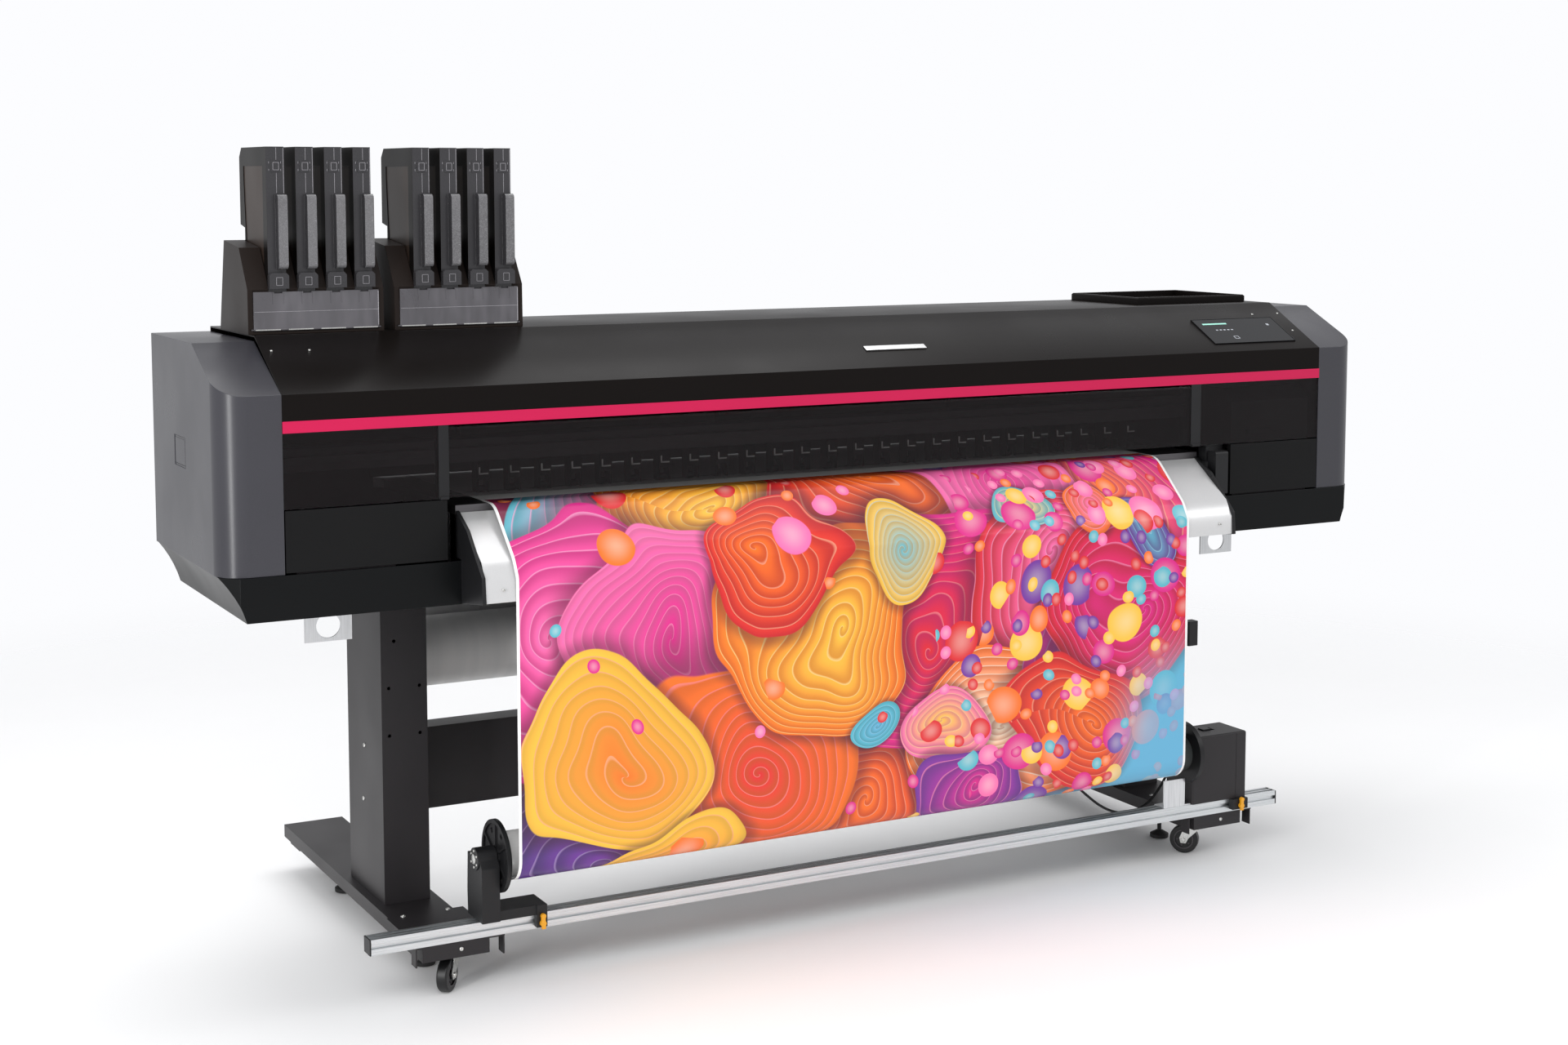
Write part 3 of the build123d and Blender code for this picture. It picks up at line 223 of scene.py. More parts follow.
def printed(name):
    """Own abstract design on glossy film: overlapping curled discs, then scattered dots."""
    look = Look(name, "vinyl_print")
    flat = look.add("ShaderNodeUVMap", uv_map="sheet").outputs[0]
    sway = look.noise(2.3, 1.6, where=flat).outputs["Color"]
    centred = look.add("ShaderNodeVectorMath", {0: sway, 1: (0.5, 0.5, 0.5)}, operation="SUBTRACT").outputs[0]
    push = look.add("ShaderNodeVectorMath", {0: centred, "Scale": CURL_PUSH}, operation="SCALE").outputs[0]
    warped = look.add("ShaderNodeVectorMath", {0: flat, 1: push}, operation="ADD").outputs[0]
    across, down = look.add("ShaderNodeSeparateXYZ", {"Vector": warped}).outputs[:2]
    sky = look.mix(look.step(down, 0.3, 0.95), (*TEAL, 1), (*SKY, 1))
    deep = look.mix(look.noise(7.0, 3.0, where=warped).outputs["Fac"], (*NAVY, 1), (*RED, 1))
    colour = look.mix(look.step(across, 0.22, 0.42), deep, sky)
    for x, y, radius, rings, twist, outer, inner in CURLS:
        dx, dy = look.math("SUBTRACT", across, x), look.math("SUBTRACT", down, y)
        far = look.math("SQRT", look.math("MULTIPLY_ADD", dx, dx, look.math("MULTIPLY", dy, dy)))
        share = look.math("DIVIDE", far, radius)
        turn = look.math("DIVIDE", look.math("ARCTAN2", dy, dx), 2 * math.pi / twist)
        strata = look.math("FRACT", look.math("MULTIPLY_ADD", share, rings, turn))
        tone = look.mix(share, (*inner, 1), (*outer, 1))
        lit = look.mix(look.step(strata, 0.0, 0.9, 0.0, 0.5), tone, rgba([0.45 * c for c in outer]))
        edge = look.mix(look.step(strata, 0.86, 0.97, 0.0, 0.55), lit, rgba([c + 0.25 for c in inner]))
        shadow = look.mix(look.step(share, 1.0, 1.22, 0.55, 0.0), colour, (0.05, 0.005, 0.02, 1))
        colour = look.mix(look.step(share, 0.985, 1.0, 1.0, 0.0), shadow, edge)
    nudge = look.add("ShaderNodeVectorMath", {0: centred, "Scale": DOT_PUSH}, operation="SCALE").outputs[0]
    calm = look.add("ShaderNodeVectorMath", {0: flat, 1: nudge}, operation="ADD").outputs[0]
    for density, size in DOT_SIZES:
        cells = look.add("ShaderNodeTexVoronoi", {"Vector": calm, "Scale": density, "Randomness": 0.85},
                         voronoi_dimensions="2D")
        pick = look.add("ShaderNodeSeparateColor", {"Color": cells.outputs["Color"]}).outputs
        hue = look.add("ShaderNodeValToRGB", {"Fac": pick[0]})
        hue.color_ramp.interpolation = "CONSTANT"
        for i, shade in enumerate(DOT_SHADES[1:]):
            hue.color_ramp.elements.new((i + 1) / len(DOT_SHADES)).color = (*shade, 1)
        hue.color_ramp.elements[0].color = (*RED, 1)
        near = cells.outputs["Distance"]
        disc = look.step(near, size - 0.02, size, 1.0, 0.0)
        zone = look.step(across, 0.02, 0.40, 0.05, 0.46)
        shown = look.math("MULTIPLY", disc, look.math("LESS_THAN", pick[1], zone))
        core = look.mix(look.step(near, 0.0, size, 0.26, 0.0), hue.outputs[0], (1, 0.92, 0.8, 1))
        halo = look.math("MULTIPLY", look.step(near, size, size + 0.12, 0.35, 0.0), shown)
        colour = look.mix(halo, colour, (0.08, 0.01, 0.02, 1))
        colour = look.mix(shown, colour, core)
    corner = look.math("MULTIPLY", look.step(across, 0.45, 0.66), look.step(down, 0.38, 0.62))
    colour = look.mix(look.math("MULTIPLY", corner, 0.8), colour, (*SKY, 1))
    side, length = look.add("ShaderNodeSeparateXYZ", {"Vector": flat}).outputs[:2]
    lo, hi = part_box("media_web")
    inside = look.math("MULTIPLY", look.math("GREATER_THAN", side, lo.x + BLANK_EDGE),
                       look.math("LESS_THAN", side, hi.x - BLANK_EDGE))
    inked = look.math("MULTIPLY", inside, look.math("GREATER_THAN", length, PRINT_START))
    grain = look.noise(2400.0, 1.0).outputs["Fac"]
    colour = look.mix(look.math("MULTIPLY", grain, 0.02), colour, (1, 1, 1, 1))
    colour = look.mix(inked, (0.88, 0.88, 0.87, 1), colour)
    look.set(Base_Color=colour, Roughness=look.step(grain, 0.2, 0.8, 0.20, 0.27), Specular_IOR_Level=0.36)
    return look.bump(look.noise(4.0, 2.0, (0.4, 1, 1)).outputs["Fac"], 0.12, 0.004)


takeup_lo, takeup_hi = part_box("takeup_disc")
supply_lo, supply_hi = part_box("supply_roll")
LOOKS = {
    "cover_grey": surface("cover_grey", (0.036, 0.0355, 0.043), 0.30, grain=1100, relief=0.10, specular=0.5),
    "lid_black": surface("lid_black", (0.0060, 0.0046, 0.0042), 0.30, grain=900, relief=0.03,
                         specular=0.30).set(IOR=1.24),
    "base_black": surface("base_black", (0.0030, 0.0034, 0.0038), 0.34, grain=800, relief=0.04, specular=0.16),
    "stripe_magenta": surface("stripe_magenta", (0.54, 0.0065, 0.070), 0.34, grain=900, relief=0.04,
                              mottle=0.04, specular=0.3),
    "panel_black": surface("panel_black", (0.0072, 0.0072, 0.0075), 0.40, grain=1300, relief=0.18,
                           specular=0.22).set(IOR=1.35),
    "window_smoke": smoked("window_smoke", (0.0030, 0.0010, 0.0015), 0.50, 0.045, specular=0.35),
    "stand_charcoal": surface("stand_charcoal", (0.0185, 0.0165, 0.0180), 0.44, grain=1500, relief=0.3,
                              specular=0.32),
    "guide_silver": surface("guide_silver", (0.70, 0.70, 0.70), 0.34, 0.5, grain=1400, relief=0.05,
                            mottle=0.03),
    "aluminium_rail": brushed("aluminium_rail", (0.62, 0.64, 0.65), 0.34),
    "bracket_steel": brushed("bracket_steel", (0.66, 0.67, 0.68), 0.40, (200, 200, 2)),
    "part_black": surface("part_black", (0.0085, 0.0085, 0.0095), 0.42, grain=1000, relief=0.2, specular=0.34),
    "lever_yellow": surface("lever_yellow", (0.74, 0.33, 0.010), 0.34, grain=900, mottle=0.08),
    "cartridge_grey": surface("cartridge_grey", (0.0040, 0.0034, 0.0032), 0.30, grain=500, mottle=0.1,
                              relief=0.05, specular=0.2).set(IOR=1.3),
    "flap_smoke": smoked("flap_smoke", (0.120, 0.115, 0.126), 0.78, 0.22, grain=13.0, streaks=(2.4, 2.4, 0.6)),
    "holder_brown": surface("holder_brown", (0.0150, 0.0105, 0.0088), 0.38, grain=1200, relief=0.12,
                            specular=0.25).set(IOR=1.35),
    "zinc": brushed("zinc", (0.62, 0.62, 0.60), 0.32, (90, 90, 90)),
    "caster_black": surface("caster_black", (0.0070, 0.0070, 0.0075), 0.40, grain=700, relief=0.2,
                            specular=0.4),
    "screen": surface("screen", (0.0035, 0.0038, 0.0055), 0.10, grain=40, relief=0.01, spread=0.02,
                      specular=0.35),
    "cord_black": surface("cord_black", (0.008, 0.008, 0.008), 0.45, grain=1500, relief=0.3),
    "foot_rubber": surface("foot_rubber", (0.010, 0.010, 0.010), 0.7, grain=900, relief=0.5),
    "inner_grey": surface("inner_grey", (0.050, 0.042, 0.047), 0.42, grain=900),
    "platen_dark": brushed("platen_dark", (0.13, 0.125, 0.13), 0.42),
    "roll_white": wound_roll("roll_white", (supply_lo + supply_hi) / 2),
    "vinyl_print": printed("vinyl_print"),
}
TAKEUP_WHITE = wound_roll("takeup_core_card", (takeup_lo + takeup_hi) / 2, card=(0.055, 0.062, 0.060))
SHEET_BACK = surface("sheet_back", (0.80, 0.80, 0.80), 0.45, grain=1400, mottle=0.02, slot="roll_white")
GLOW = surface("screen_glow", (0.30, 0.62, 0.52), 0.4, grain=2000, mottle=0.05, slot="screen")
GLOW.set(Emission_Color=(0.30, 0.75, 0.60, 1), Emission_Strength=0.35)
MARK = surface("screen_mark", (0.42, 0.44, 0.48), 0.4, grain=2000, mottle=0.05, slot="screen")
PALE = surface("clip_pale", (0.75, 0.74, 0.72), 0.45, grain=1500, mottle=0.06, slot="inner_grey")
BADGE = brushed("badge_satin", (0.62, 0.62, 0.62), 0.3, slot="zinc")
FRONT = surface("cartridge_front", (0.030, 0.029, 0.032), 0.24, grain=600, mottle=0.15, slot="cartridge_grey")
# Pale grey painted as a highlight on the grip's faces turned to the front and right.
GRIP_HIGHLIGHT = surface("cartridge_grip_highlight", (0.130, 0.128, 0.133), 0.26, grain=600, mottle=0.22, slot="cartridge_grey")
# Brown painted as a reflection on the inset side faces of each cartridge.
RECESS_REFLECTION = surface("cartridge_recess_reflection", (0.030, 0.020, 0.0155), 0.36, grain=600, mottle=0.12, specular=0.2,
                 slot="cartridge_grey")
# Pale grey painted as highlights along raised edges, seams and notches of the cartridges and flaps.
EDGE_HIGHLIGHT = surface("cartridge_edge_highlight", (0.30, 0.29, 0.31), 0.22, grain=600, mottle=0.15, slot="cartridge_grey")
ARM = surface("arm_black", (0.0045, 0.0040, 0.0045), 0.55, grain=900, specular=0.12, slot="inner_grey")

for item in frame["record"]["subparts"]:
    cad = frame["nodes"][item["node"]]
    cad.data.materials.clear()
    cad.data.materials.append(LOOKS[item["material_slot"]].material)
SLOT = {item["node"]: item["material_slot"] for item in frame["record"]["subparts"]}
BODY = {node: body for body, members in frame["record"]["behaviour"]["bodies"].items() for node in members}


# ---------------------------------------------------------------- the motor's lead
# From the clip on the cross beam, down behind the roll, to the gland of the motor box.
LEAD_ROUTE = [(0.540, -0.012, 0.330), (0.548, -0.066, 0.318), (0.566, -0.128, 0.288), (0.592, -0.190, 0.246),
              (0.620, -0.246, 0.200), (0.650, -0.286, 0.158), (0.692, -0.306, 0.120), (0.748, -0.312, 0.100),
              (0.806, -0.314, 0.112), (0.846, -0.314, 0.148), (0.868, -0.320, 0.190), (0.888, -0.328, 0.214)]
LEAD_LENGTH, LEAD_DIAMETER = 0.657, 0.006


def power_lead():
    """The lead as a round cord; each route point is a control point of its curve."""
    data = bpy.data.curves.new("power_lead", "CURVE")
    data.dimensions = "3D"
    line = data.splines.new("NURBS")
    line.points.add(len(LEAD_ROUTE) - 1)
    for point, place in zip(line.points, LEAD_ROUTE):
        point.co = (*place, 1.0)
    line.order_u = 3
    line.use_endpoint_u = True
    line.resolution_u = 12
    data.bevel_depth = LEAD_DIAMETER / 2
    data.bevel_resolution = 6
    data.use_fill_caps = True
    data.materials.append(LOOKS["cord_black"].material)
    lead = bpy.data.objects.new("power_lead", data)
    bpy.context.scene.collection.objects.link(lead)
    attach(lead, BODY["cable"])
    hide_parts("cable")
    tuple(LEAD_ROUTE[0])


power_lead()


# ---------------------------------------------------------------- mesh helpers
def islands(bm):
    """The separate solids of a mesh, as lists of faces, in the mesh's order."""
    seen = set()
    for start in bm.faces:
        if start in seen:
            continue
        seen.add(start)
        patch, queue = [], [start]
        while queue:
            face = queue.pop()
            patch.append(face)
            for edge in face.edges:
                for other in edge.link_faces:
                    if other not in seen:
                        seen.add(other)
                        queue.append(other)
        yield patch


def extent(faces):
    """Lower and upper corner of some faces."""
    points = [v.co for f in faces for v in f.verts]
    lo = Vector([min(p[i] for p in points) for i in range(3)])
    hi = Vector([max(p[i] for p in points) for i in range(3)])
    return lo, hi


def solid(bm, name, body, looks, slot=None, stands_for=()):
    """Finishes a mesh: smooth shading with crisp corners, materials and body; the slot is not used."""
    bmesh.ops.recalc_face_normals(bm, faces=bm.faces)
    for face in bm.faces:
        face.smooth = True
    for edge in bm.edges:
        edge.smooth = len(edge.link_faces) == 2 and edge.calc_face_angle(0.0) < SMOOTH
    mesh = bpy.data.meshes.new(name)
    bm.to_mesh(mesh)
    bm.free()
    for look in looks:
        mesh.materials.append(look.material)
    piece = bpy.data.objects.new(name, mesh)
    bpy.context.scene.collection.objects.link(piece)
    normals = piece.modifiers.new("normals", "WEIGHTED_NORMAL")
    normals.keep_sharp = True
    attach(piece, body)
    slot or looks[0].slot
    if stands_for:
        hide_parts(*stands_for)
    return piece


def soften(bm, width, segments=2):
    """Rounds every sharp edge."""
    sharp = [e for e in bm.edges if len(e.link_faces) == 2 and e.calc_face_angle(0.0) > CREASE]
    bmesh.ops.bevel(bm, geom=sharp, offset=width, segments=segments, profile=0.6,
                    affect="EDGES", clamp_overlap=False)


def cad_mesh(node):
    """A node's CAD mesh, welded, with its flat faces joined."""
    bm = bmesh.new()
    bm.from_mesh(frame["nodes"][node].data)
    bmesh.ops.remove_doubles(bm, verts=bm.verts, dist=WELD)
    bmesh.ops.dissolve_limit(bm, angle_limit=FLAT, verts=bm.verts, edges=bm.edges)
    return bm


def refined(node, width, looks=None, pick=None, pick_at=None):
    """The node's shape with rounded edges, replacing it.

    pick(lo, hi) chooses each solid's material from its extent, and pick_at(point) each face's.
    """
    bm = cad_mesh(node)
    soften(bm, width)
    if pick:
        for faces in islands(bm):
            index = pick(*extent(faces))
            for face in faces:
                face.material_index = index
    if pick_at:
        for face in bm.faces:
            face.material_index = pick_at(face.calc_center_median())
    looks = looks or [LOOKS[SLOT[node]]]
    solid(bm, node + "_finish", BODY[node], looks, SLOT[node], [node])


def slab(bm, lo, hi, width, segments=2, turn=None):
    """A block with rounded edges, added to a mesh."""
    lo, hi = Vector(lo), Vector(hi)
    made = bmesh.ops.create_cube(bm, size=1.0)["verts"]
    bmesh.ops.scale(bm, vec=hi - lo, verts=made)
    if turn:
        bmesh.ops.transform(bm, matrix=turn, verts=made)
    bmesh.ops.translate(bm, vec=(lo + hi) / 2, verts=made)
    edges = list(dict.fromkeys(e for v in made for e in v.link_edges))
    bmesh.ops.bevel(bm, geom=edges, offset=width, segments=segments, profile=0.6,
                    affect="EDGES", clamp_overlap=True)


def frame_to(axis):
    """Turns local Z onto an axis."""
    return Vector(axis).to_track_quat("Z", "Y").to_matrix().to_4x4()


def spin(bm, profile, origin, axis, steps=40):
    """Adds a turned piece: profile is (radius, height) from the axis out and back."""
    rings = []
    place = Matrix.Translation(Vector(origin)) @ frame_to(axis)
    for radius, height in profile:
        if radius < 1e-7:
            rings.append([bm.verts.new(place @ Vector((0, 0, height)))])
            continue
        ring = []
        for k in range(steps):
            angle = 2 * math.pi * k / steps
            at = Vector((radius * math.cos(angle), radius * math.sin(angle), height))
            ring.append(bm.verts.new(place @ at))
        rings.append(ring)
    for a, b in zip(rings, rings[1:]):
        for k in range(steps):
            j = (k + 1) % steps
            corners = [a[k % len(a)], a[j % len(a)], b[j % len(b)], b[k % len(b)]]
            unique = list(dict.fromkeys(corners))
            if len(unique) > 2:
                bm.faces.new(unique)


def cap_screw(bm, origin, axis, radius, height):
    """Round head with a sunk socket."""
    rim = 0.18 * radius
    spin(bm, [(0, 0), (radius, 0), (radius, height - rim), (radius - rim, height),
              (0.56 * radius, height), (0.50 * radius, 0.35 * height), (0, 0.35 * height)], origin, axis, 28)


# A cartridge's own sizes, from its box: its right side and front are the catch's and the grip's.
CARTRIDGE_FROM_RIGHT = 18.5 * MM   # box side to the middle
CARTRIDGE_FRONT = 19.5 * MM        # grip's front to the plain front face
CARTRIDGE_HALF = 17.5 * MM
GRIP_FOOT = 235 * MM               # below the top


def cartridge_body(node, width):
    """A cartridge: near-black sides with a painted brown reflection on their inset faces, grey front, and a
    painted highlight on the grip's faces turned front and right.
    """
    side_look, front_look, grip_highlight_look, recess_reflection_look = range(4)
    bm = cad_mesh(node)
    soften(bm, width)
    lo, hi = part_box(node)
    front, middle = lo.y + CARTRIDGE_FRONT, hi.x - CARTRIDGE_FROM_RIGHT
    for face in bm.faces:
        at, normal = face.calc_center_median(), face.normal
        grip = at.y < front - 5 * MM and at.z > hi.z - GRIP_FOOT
        if at.y < front - 1.2 * MM:
            # Painted highlight: grip faces that face the front, and those that face right, take the pale colour.
            lit = grip and (normal.y < -0.3 or normal.x > 0.5)
            face.material_index = grip_highlight_look if lit else front_look
        elif normal.y < -0.5 and at.y < front + 2 * MM:
            face.material_index = front_look
        # Painted reflection: the inset side faces take the brown.
        elif abs(normal.x) > 0.9 and 15 * MM < abs(at.x - middle) < CARTRIDGE_HALF - 0.7 * MM:
            face.material_index = recess_reflection_look
        else:
            face.material_index = side_look
    looks = [LOOKS["cartridge_grey"], FRONT, GRIP_HIGHLIGHT, RECESS_REFLECTION]
    solid(bm, node + "_finish", BODY[node], looks, "cartridge_grey", [node])


def is_end_cap(at):
    """Whether a face of the rail belongs to one of its plastic end caps."""
    return int(abs(at.x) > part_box("rail")[1].x - 3.05 * MM)


def motor_box_look(lo, hi):
    """Bracket left of the box, rail clamp below it, and the box with its motor."""
    box_case, bracket, clamp = range(3)
    if hi.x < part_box("drive_knob")[0].x - 150 * MM:
        return bracket
    return clamp if hi.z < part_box("rail")[1].z + 10 * MM else box_case


def is_short(lo, hi):
    """Whether a solid of the supply roll is an end plug and not the roll or its core."""
    return int(hi.x - lo.x < 400 * MM)


# ---------------------------------------------------------------- body panels
CARTRIDGES, CASTERS = range(1, 9), range(1, 5)
ROUNDING = {                       # width of the rounded edges, in millimetres
    "side_cover_left": 1.2, "side_cover_right": 1.2, "top_cover": 0.8, "stripe": 0.5, "base_pan": 1.0,
    "panel_left": 0.7, "panel_right": 0.7, "rear_cover": 0.6, "top_tray": 0.8, "window_posts": 0.6,
    "window_cover": 0.5, "bay_windows": 0.5, "hole_brackets": 0.5, "apron_ends": 1.5, "apron": 0.35,
    "platen": 0.5, "guide_rail": 0.8, "cap_station": 0.8, "carriage": 1.2, "pinch_rollers": 0.4,
    "touch_panel": 0.5, "pressure_lever": 0.8, "feet": 0.7, "stand_frame": 0.8, "levelling_feet": 0.6,
    "supply_holders": 0.8, "loop_sensor": 0.8, "rail": 0.35, "ink_holder_left": 0.8, "flap_left": 0.4,
    "ink_holder_right": 0.8, "flap_right": 0.4, **{f"cartridge_{number}": 0.5 for number in CARTRIDGES},
    "takeup_slider": 0.9, "takeup_disc": 0.5, "motor_box": 0.5, "slider_lever": 0.4, "motor_lever": 0.4,
    "drive_knob": 0.5,
    **{f"caster_{part}_{number}": 0.3 for number in CASTERS for part in ("fork", "wheel")},
    "supply_roll": 0.3,
}
MIXED_LOOKS = {                    # nodes with looks of their own, or more than one
    "pinch_rollers": {"looks": [ARM]},
    "rail": {"looks": [LOOKS["aluminium_rail"], LOOKS["part_black"]], "pick_at": is_end_cap},
    "motor_box": {"looks": [LOOKS["stand_charcoal"], LOOKS["bracket_steel"], LOOKS["part_black"]],
                  "pick": motor_box_look},
    "supply_roll": {"looks": [LOOKS["roll_white"], LOOKS["part_black"]], "pick": is_short},
}

for node, width in ROUNDING.items():
    if node.startswith("cartridge_"):
        cartridge_body(node, width * MM)
    else:
        refined(node, width * MM, **MIXED_LOOKS.get(node, {}))


# ---------------------------------------------------------------- the printed sheet
def outline_of(bm, x):
    """Side outline of the sheet, as one ordered loop of points at its left edge."""
    rim = [e for e in bm.edges if all(abs(v.co.x - x) < WELD for v in e.verts)
           and any(abs(f.normal.x) < 0.5 for f in e.link_faces)]
    follow = {}
    for edge in rim:
        for a, b in (edge.verts, reversed(edge.verts)):
            follow.setdefault(a, []).append(b)
    start = min(follow, key=lambda v: (-v.co.y, v.co.z))
    loop, last, here = [start], None, start
    while True:
        onward = [v for v in follow[here] if v is not last]
        last, here = here, onward[0]
        if here is start:
            break
        loop.append(here)
    return [Vector((v.co.y, v.co.z)) for v in loop]


def long_side(loop):
    """The outline's outer long side, from the supply roll's end to the take-up's end."""
    supply_end = min((p for p in loop if p.x > 0), key=lambda p: p.y)
    takeup_end = max((p for p in loop if p.y < supply_end.y), key=lambda p: p.x)
    first, second = sorted((loop.index(supply_end), loop.index(takeup_end)))
    halves = [loop[first:second + 1], loop[second:] + loop[:first + 1]]
    outer = max(halves, key=lambda half: sum((b - a).length for a, b in zip(half, half[1:])))
    return outer if outer[0] == supply_end else outer[::-1]


def along(path, starts, point):
    """Distance along the path and the direction of travel at the nearest place."""
    best = None
    for (a, b), start in zip(zip(path, path[1:]), starts):
        run = b - a
        if run.length < 1e-9:
            continue
        t = max(0.0, min(1.0, (point - a).dot(run) / run.length_squared))
        gap = (point - (a + t * run)).length
        if best is None or gap < best[0]:
            best = (gap, start + t * run.length, run.normalized())
    return best[1], best[2]


def printed_sheet():
    """The loaded film, with its design laid out by distance along the sheet."""
    bm = cad_mesh("media_web")
    lo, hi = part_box("media_web")
    path = long_side(outline_of(bm, lo.x))
    starts, total = [], 0.0
    for a, b in zip(path, path[1:]):
        starts.append(total)
        total += (b - a).length
    platen_lo, platen_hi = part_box("platen")
    inked_from, _ = along(path, starts, Vector((platen_lo.y - 22 * MM, platen_hi.z)))
    layer = bm.loops.layers.uv.new("sheet")
    print_look, back_look = range(2)
    for face in bm.faces:
        centre = face.calc_center_median()
        _, travel = along(path, starts, Vector((centre.y, centre.z)))
        outward = face.normal.y * travel.y - face.normal.z * travel.x
        face.material_index = print_look if outward > 0.5 else back_look
        for loop in face.loops:
            distance, _ = along(path, starts, Vector((loop.vert.co.y, loop.vert.co.z)))
            loop[layer].uv = (loop.vert.co.x, distance - inked_from)
    film = solid(bm, "printed_sheet", BODY["media_web"], [LOOKS["vinyl_print"], SHEET_BACK], "vinyl_print",
                 ["media_web"])
    return total - inked_from


WINDING_RADIUS = 45 * MM           # of the print on the take-up core


def takeup_winding(start):
    """Core, flange and the wound print, whose design carries on from the sheet."""
    print_look, card_look, plastic_look = range(3)
    bm = cad_mesh("takeup_roll")
    lo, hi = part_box("takeup_disc")
    axis = (lo + hi) / 2
    soften(bm, 0.3 * MM)
    layer = bm.loops.layers.uv.new("sheet")
    sheet_lo, sheet_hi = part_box("media_web")
    for faces in islands(bm):
        low, high = extent(faces)
        wound = abs(low.x - sheet_lo.x) < 2 * MM and abs(high.x - sheet_hi.x) < 2 * MM
        for face in faces:
            centre = face.calc_center_median()
            out = Vector((centre.y - axis.y, centre.z - axis.z)).length
            if wound:
                outside = abs(face.normal.x) < 0.3 and out > WINDING_RADIUS - 2 * MM
                face.material_index = print_look if outside else card_look
            else:
                flange = high.x - centre.x < 90 * MM and out > WINDING_RADIUS + 0.5 * MM
                drive = centre.x > sheet_hi.x + 20 * MM
                face.material_index = plastic_look if flange or drive else card_look
            first = None
            for loop in face.loops:
                at = loop.vert.co - axis
                angle = math.atan2(at.z, at.y)
                first = angle if first is None else first
                angle += 2 * math.pi * round((first - angle) / (2 * math.pi))
                loop[layer].uv = (loop.vert.co.x, start + WINDING_RADIUS * angle)
    looks = [LOOKS["vinyl_print"], TAKEUP_WHITE, LOOKS["part_black"]]
    solid(bm, "takeup_winding", BODY["takeup_roll"], looks, "roll_white", ["takeup_roll"])


takeup_winding(printed_sheet())


# ---------------------------------------------------------------- small details
def screw_heads():
    """Socket heads where the frame has its fasteners, and the lead's clip."""
    source = cad_mesh("screws")
    bm = bmesh.new()
    feet_lo, feet_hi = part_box("feet")
    middle = (feet_lo + feet_hi) / 2
    for faces in islands(source):
        lo, hi = extent(faces)
        size, centre = hi - lo, (lo + hi) / 2
        if min(size) > 8 * MM:
            slab(bm, lo, hi, 1.5 * MM)
            continue
        thin = min(range(3), key=lambda i: size[i])
        radius = max(size) / 2
        if thin == 2 and lo.z > 1.0:       # on the sloping face
            cap = max(faces, key=lambda f: f.calc_area() * max(0.0, f.normal.z))
            base = cap.calc_center_median() - cap.normal * 1.0 * MM
            cap_screw(bm, base, cap.normal, radius, 1.2 * MM)
            continue
        axis = Vector([0, 0, 0])
        axis[thin] = 1 if thin == 2 else math.copysign(1, centre[thin] - middle[thin])
        cap_screw(bm, centre - axis * size[thin] / 2, axis, radius, size[thin])
    source.free()
    solid(bm, "screw_heads", BODY["screws"], [LOOKS["zinc"]], "zinc", ["screws"])


screw_heads()


def spring_marks():
    """Small pale L-shaped springs on the front of each pinch roller arm."""
    drop, half, line, proud, tall = 26 * MM, 10 * MM, 3 * MM, 1.5 * MM, 15 * MM
    source = cad_mesh("pinch_rollers")
    bm = bmesh.new()
    for faces in islands(source):
        lo, hi = extent(faces)
        if hi.z - lo.z < 30 * MM:          # a roller and not its arm
            continue
        x, y, z = (lo.x + hi.x) / 2, lo.y, hi.z - drop
        slab(bm, (x - half, y - proud, z), (x - half + line, y, z + tall), 0.4 * MM)
        slab(bm, (x - half, y - proud, z), (x + half, y, z + line), 0.4 * MM)
    source.free()
    solid(bm, "arm_springs", BODY["pinch_rollers"], [PALE])


spring_marks()


def slope_frame():
    """Origin, direction up the slope and normal of the sloping face, from the screen."""
    lo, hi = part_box("touch_panel")
    cad = frame["nodes"]["touch_panel"].data
    top = max(cad.polygons, key=lambda p: p.area if p.normal.z > 0.3 else 0)
    normal = Vector(top.normal).normalized()
    up = Vector((0, normal.z, -normal.y))
    return (lo + hi) / 2, up.normalized(), normal


def on_slope(bm, slope, across, up_shift, size, lift, rounding):
    """A thin plate laid on the slope, placed from the screen's centre, all in millimetres."""
    origin, up, normal = slope
    place = Matrix((Vector((1, 0, 0)), up, normal)).transposed().to_4x4()
    at = origin + (Vector((across, 0, 0)) + up * up_shift + normal * lift) * MM
    half = Vector(size) * MM / 2
    slab(bm, at - half, at + half, rounding * MM, turn=place)


# Marks on the screen: across, up the slope, width, height, in millimetres.
SCREEN_BAR = (-65, 30, 70, 5)
SCREEN_MARKS = [(86, 20, 7, 7), *[(-75 + 11 * k, 4, 6, 3.5) for k in range(5)],
                (-40, -24, 13, 1.5), (-40, -34, 13, 1.5), (-46, -29, 1.5, 10), (-34, -29, 1.5, 10)]
SCREEN_HALF_WIDTH, SCREEN_HALF_HEIGHT, SCREEN_RIM = 119, 52, 1.6


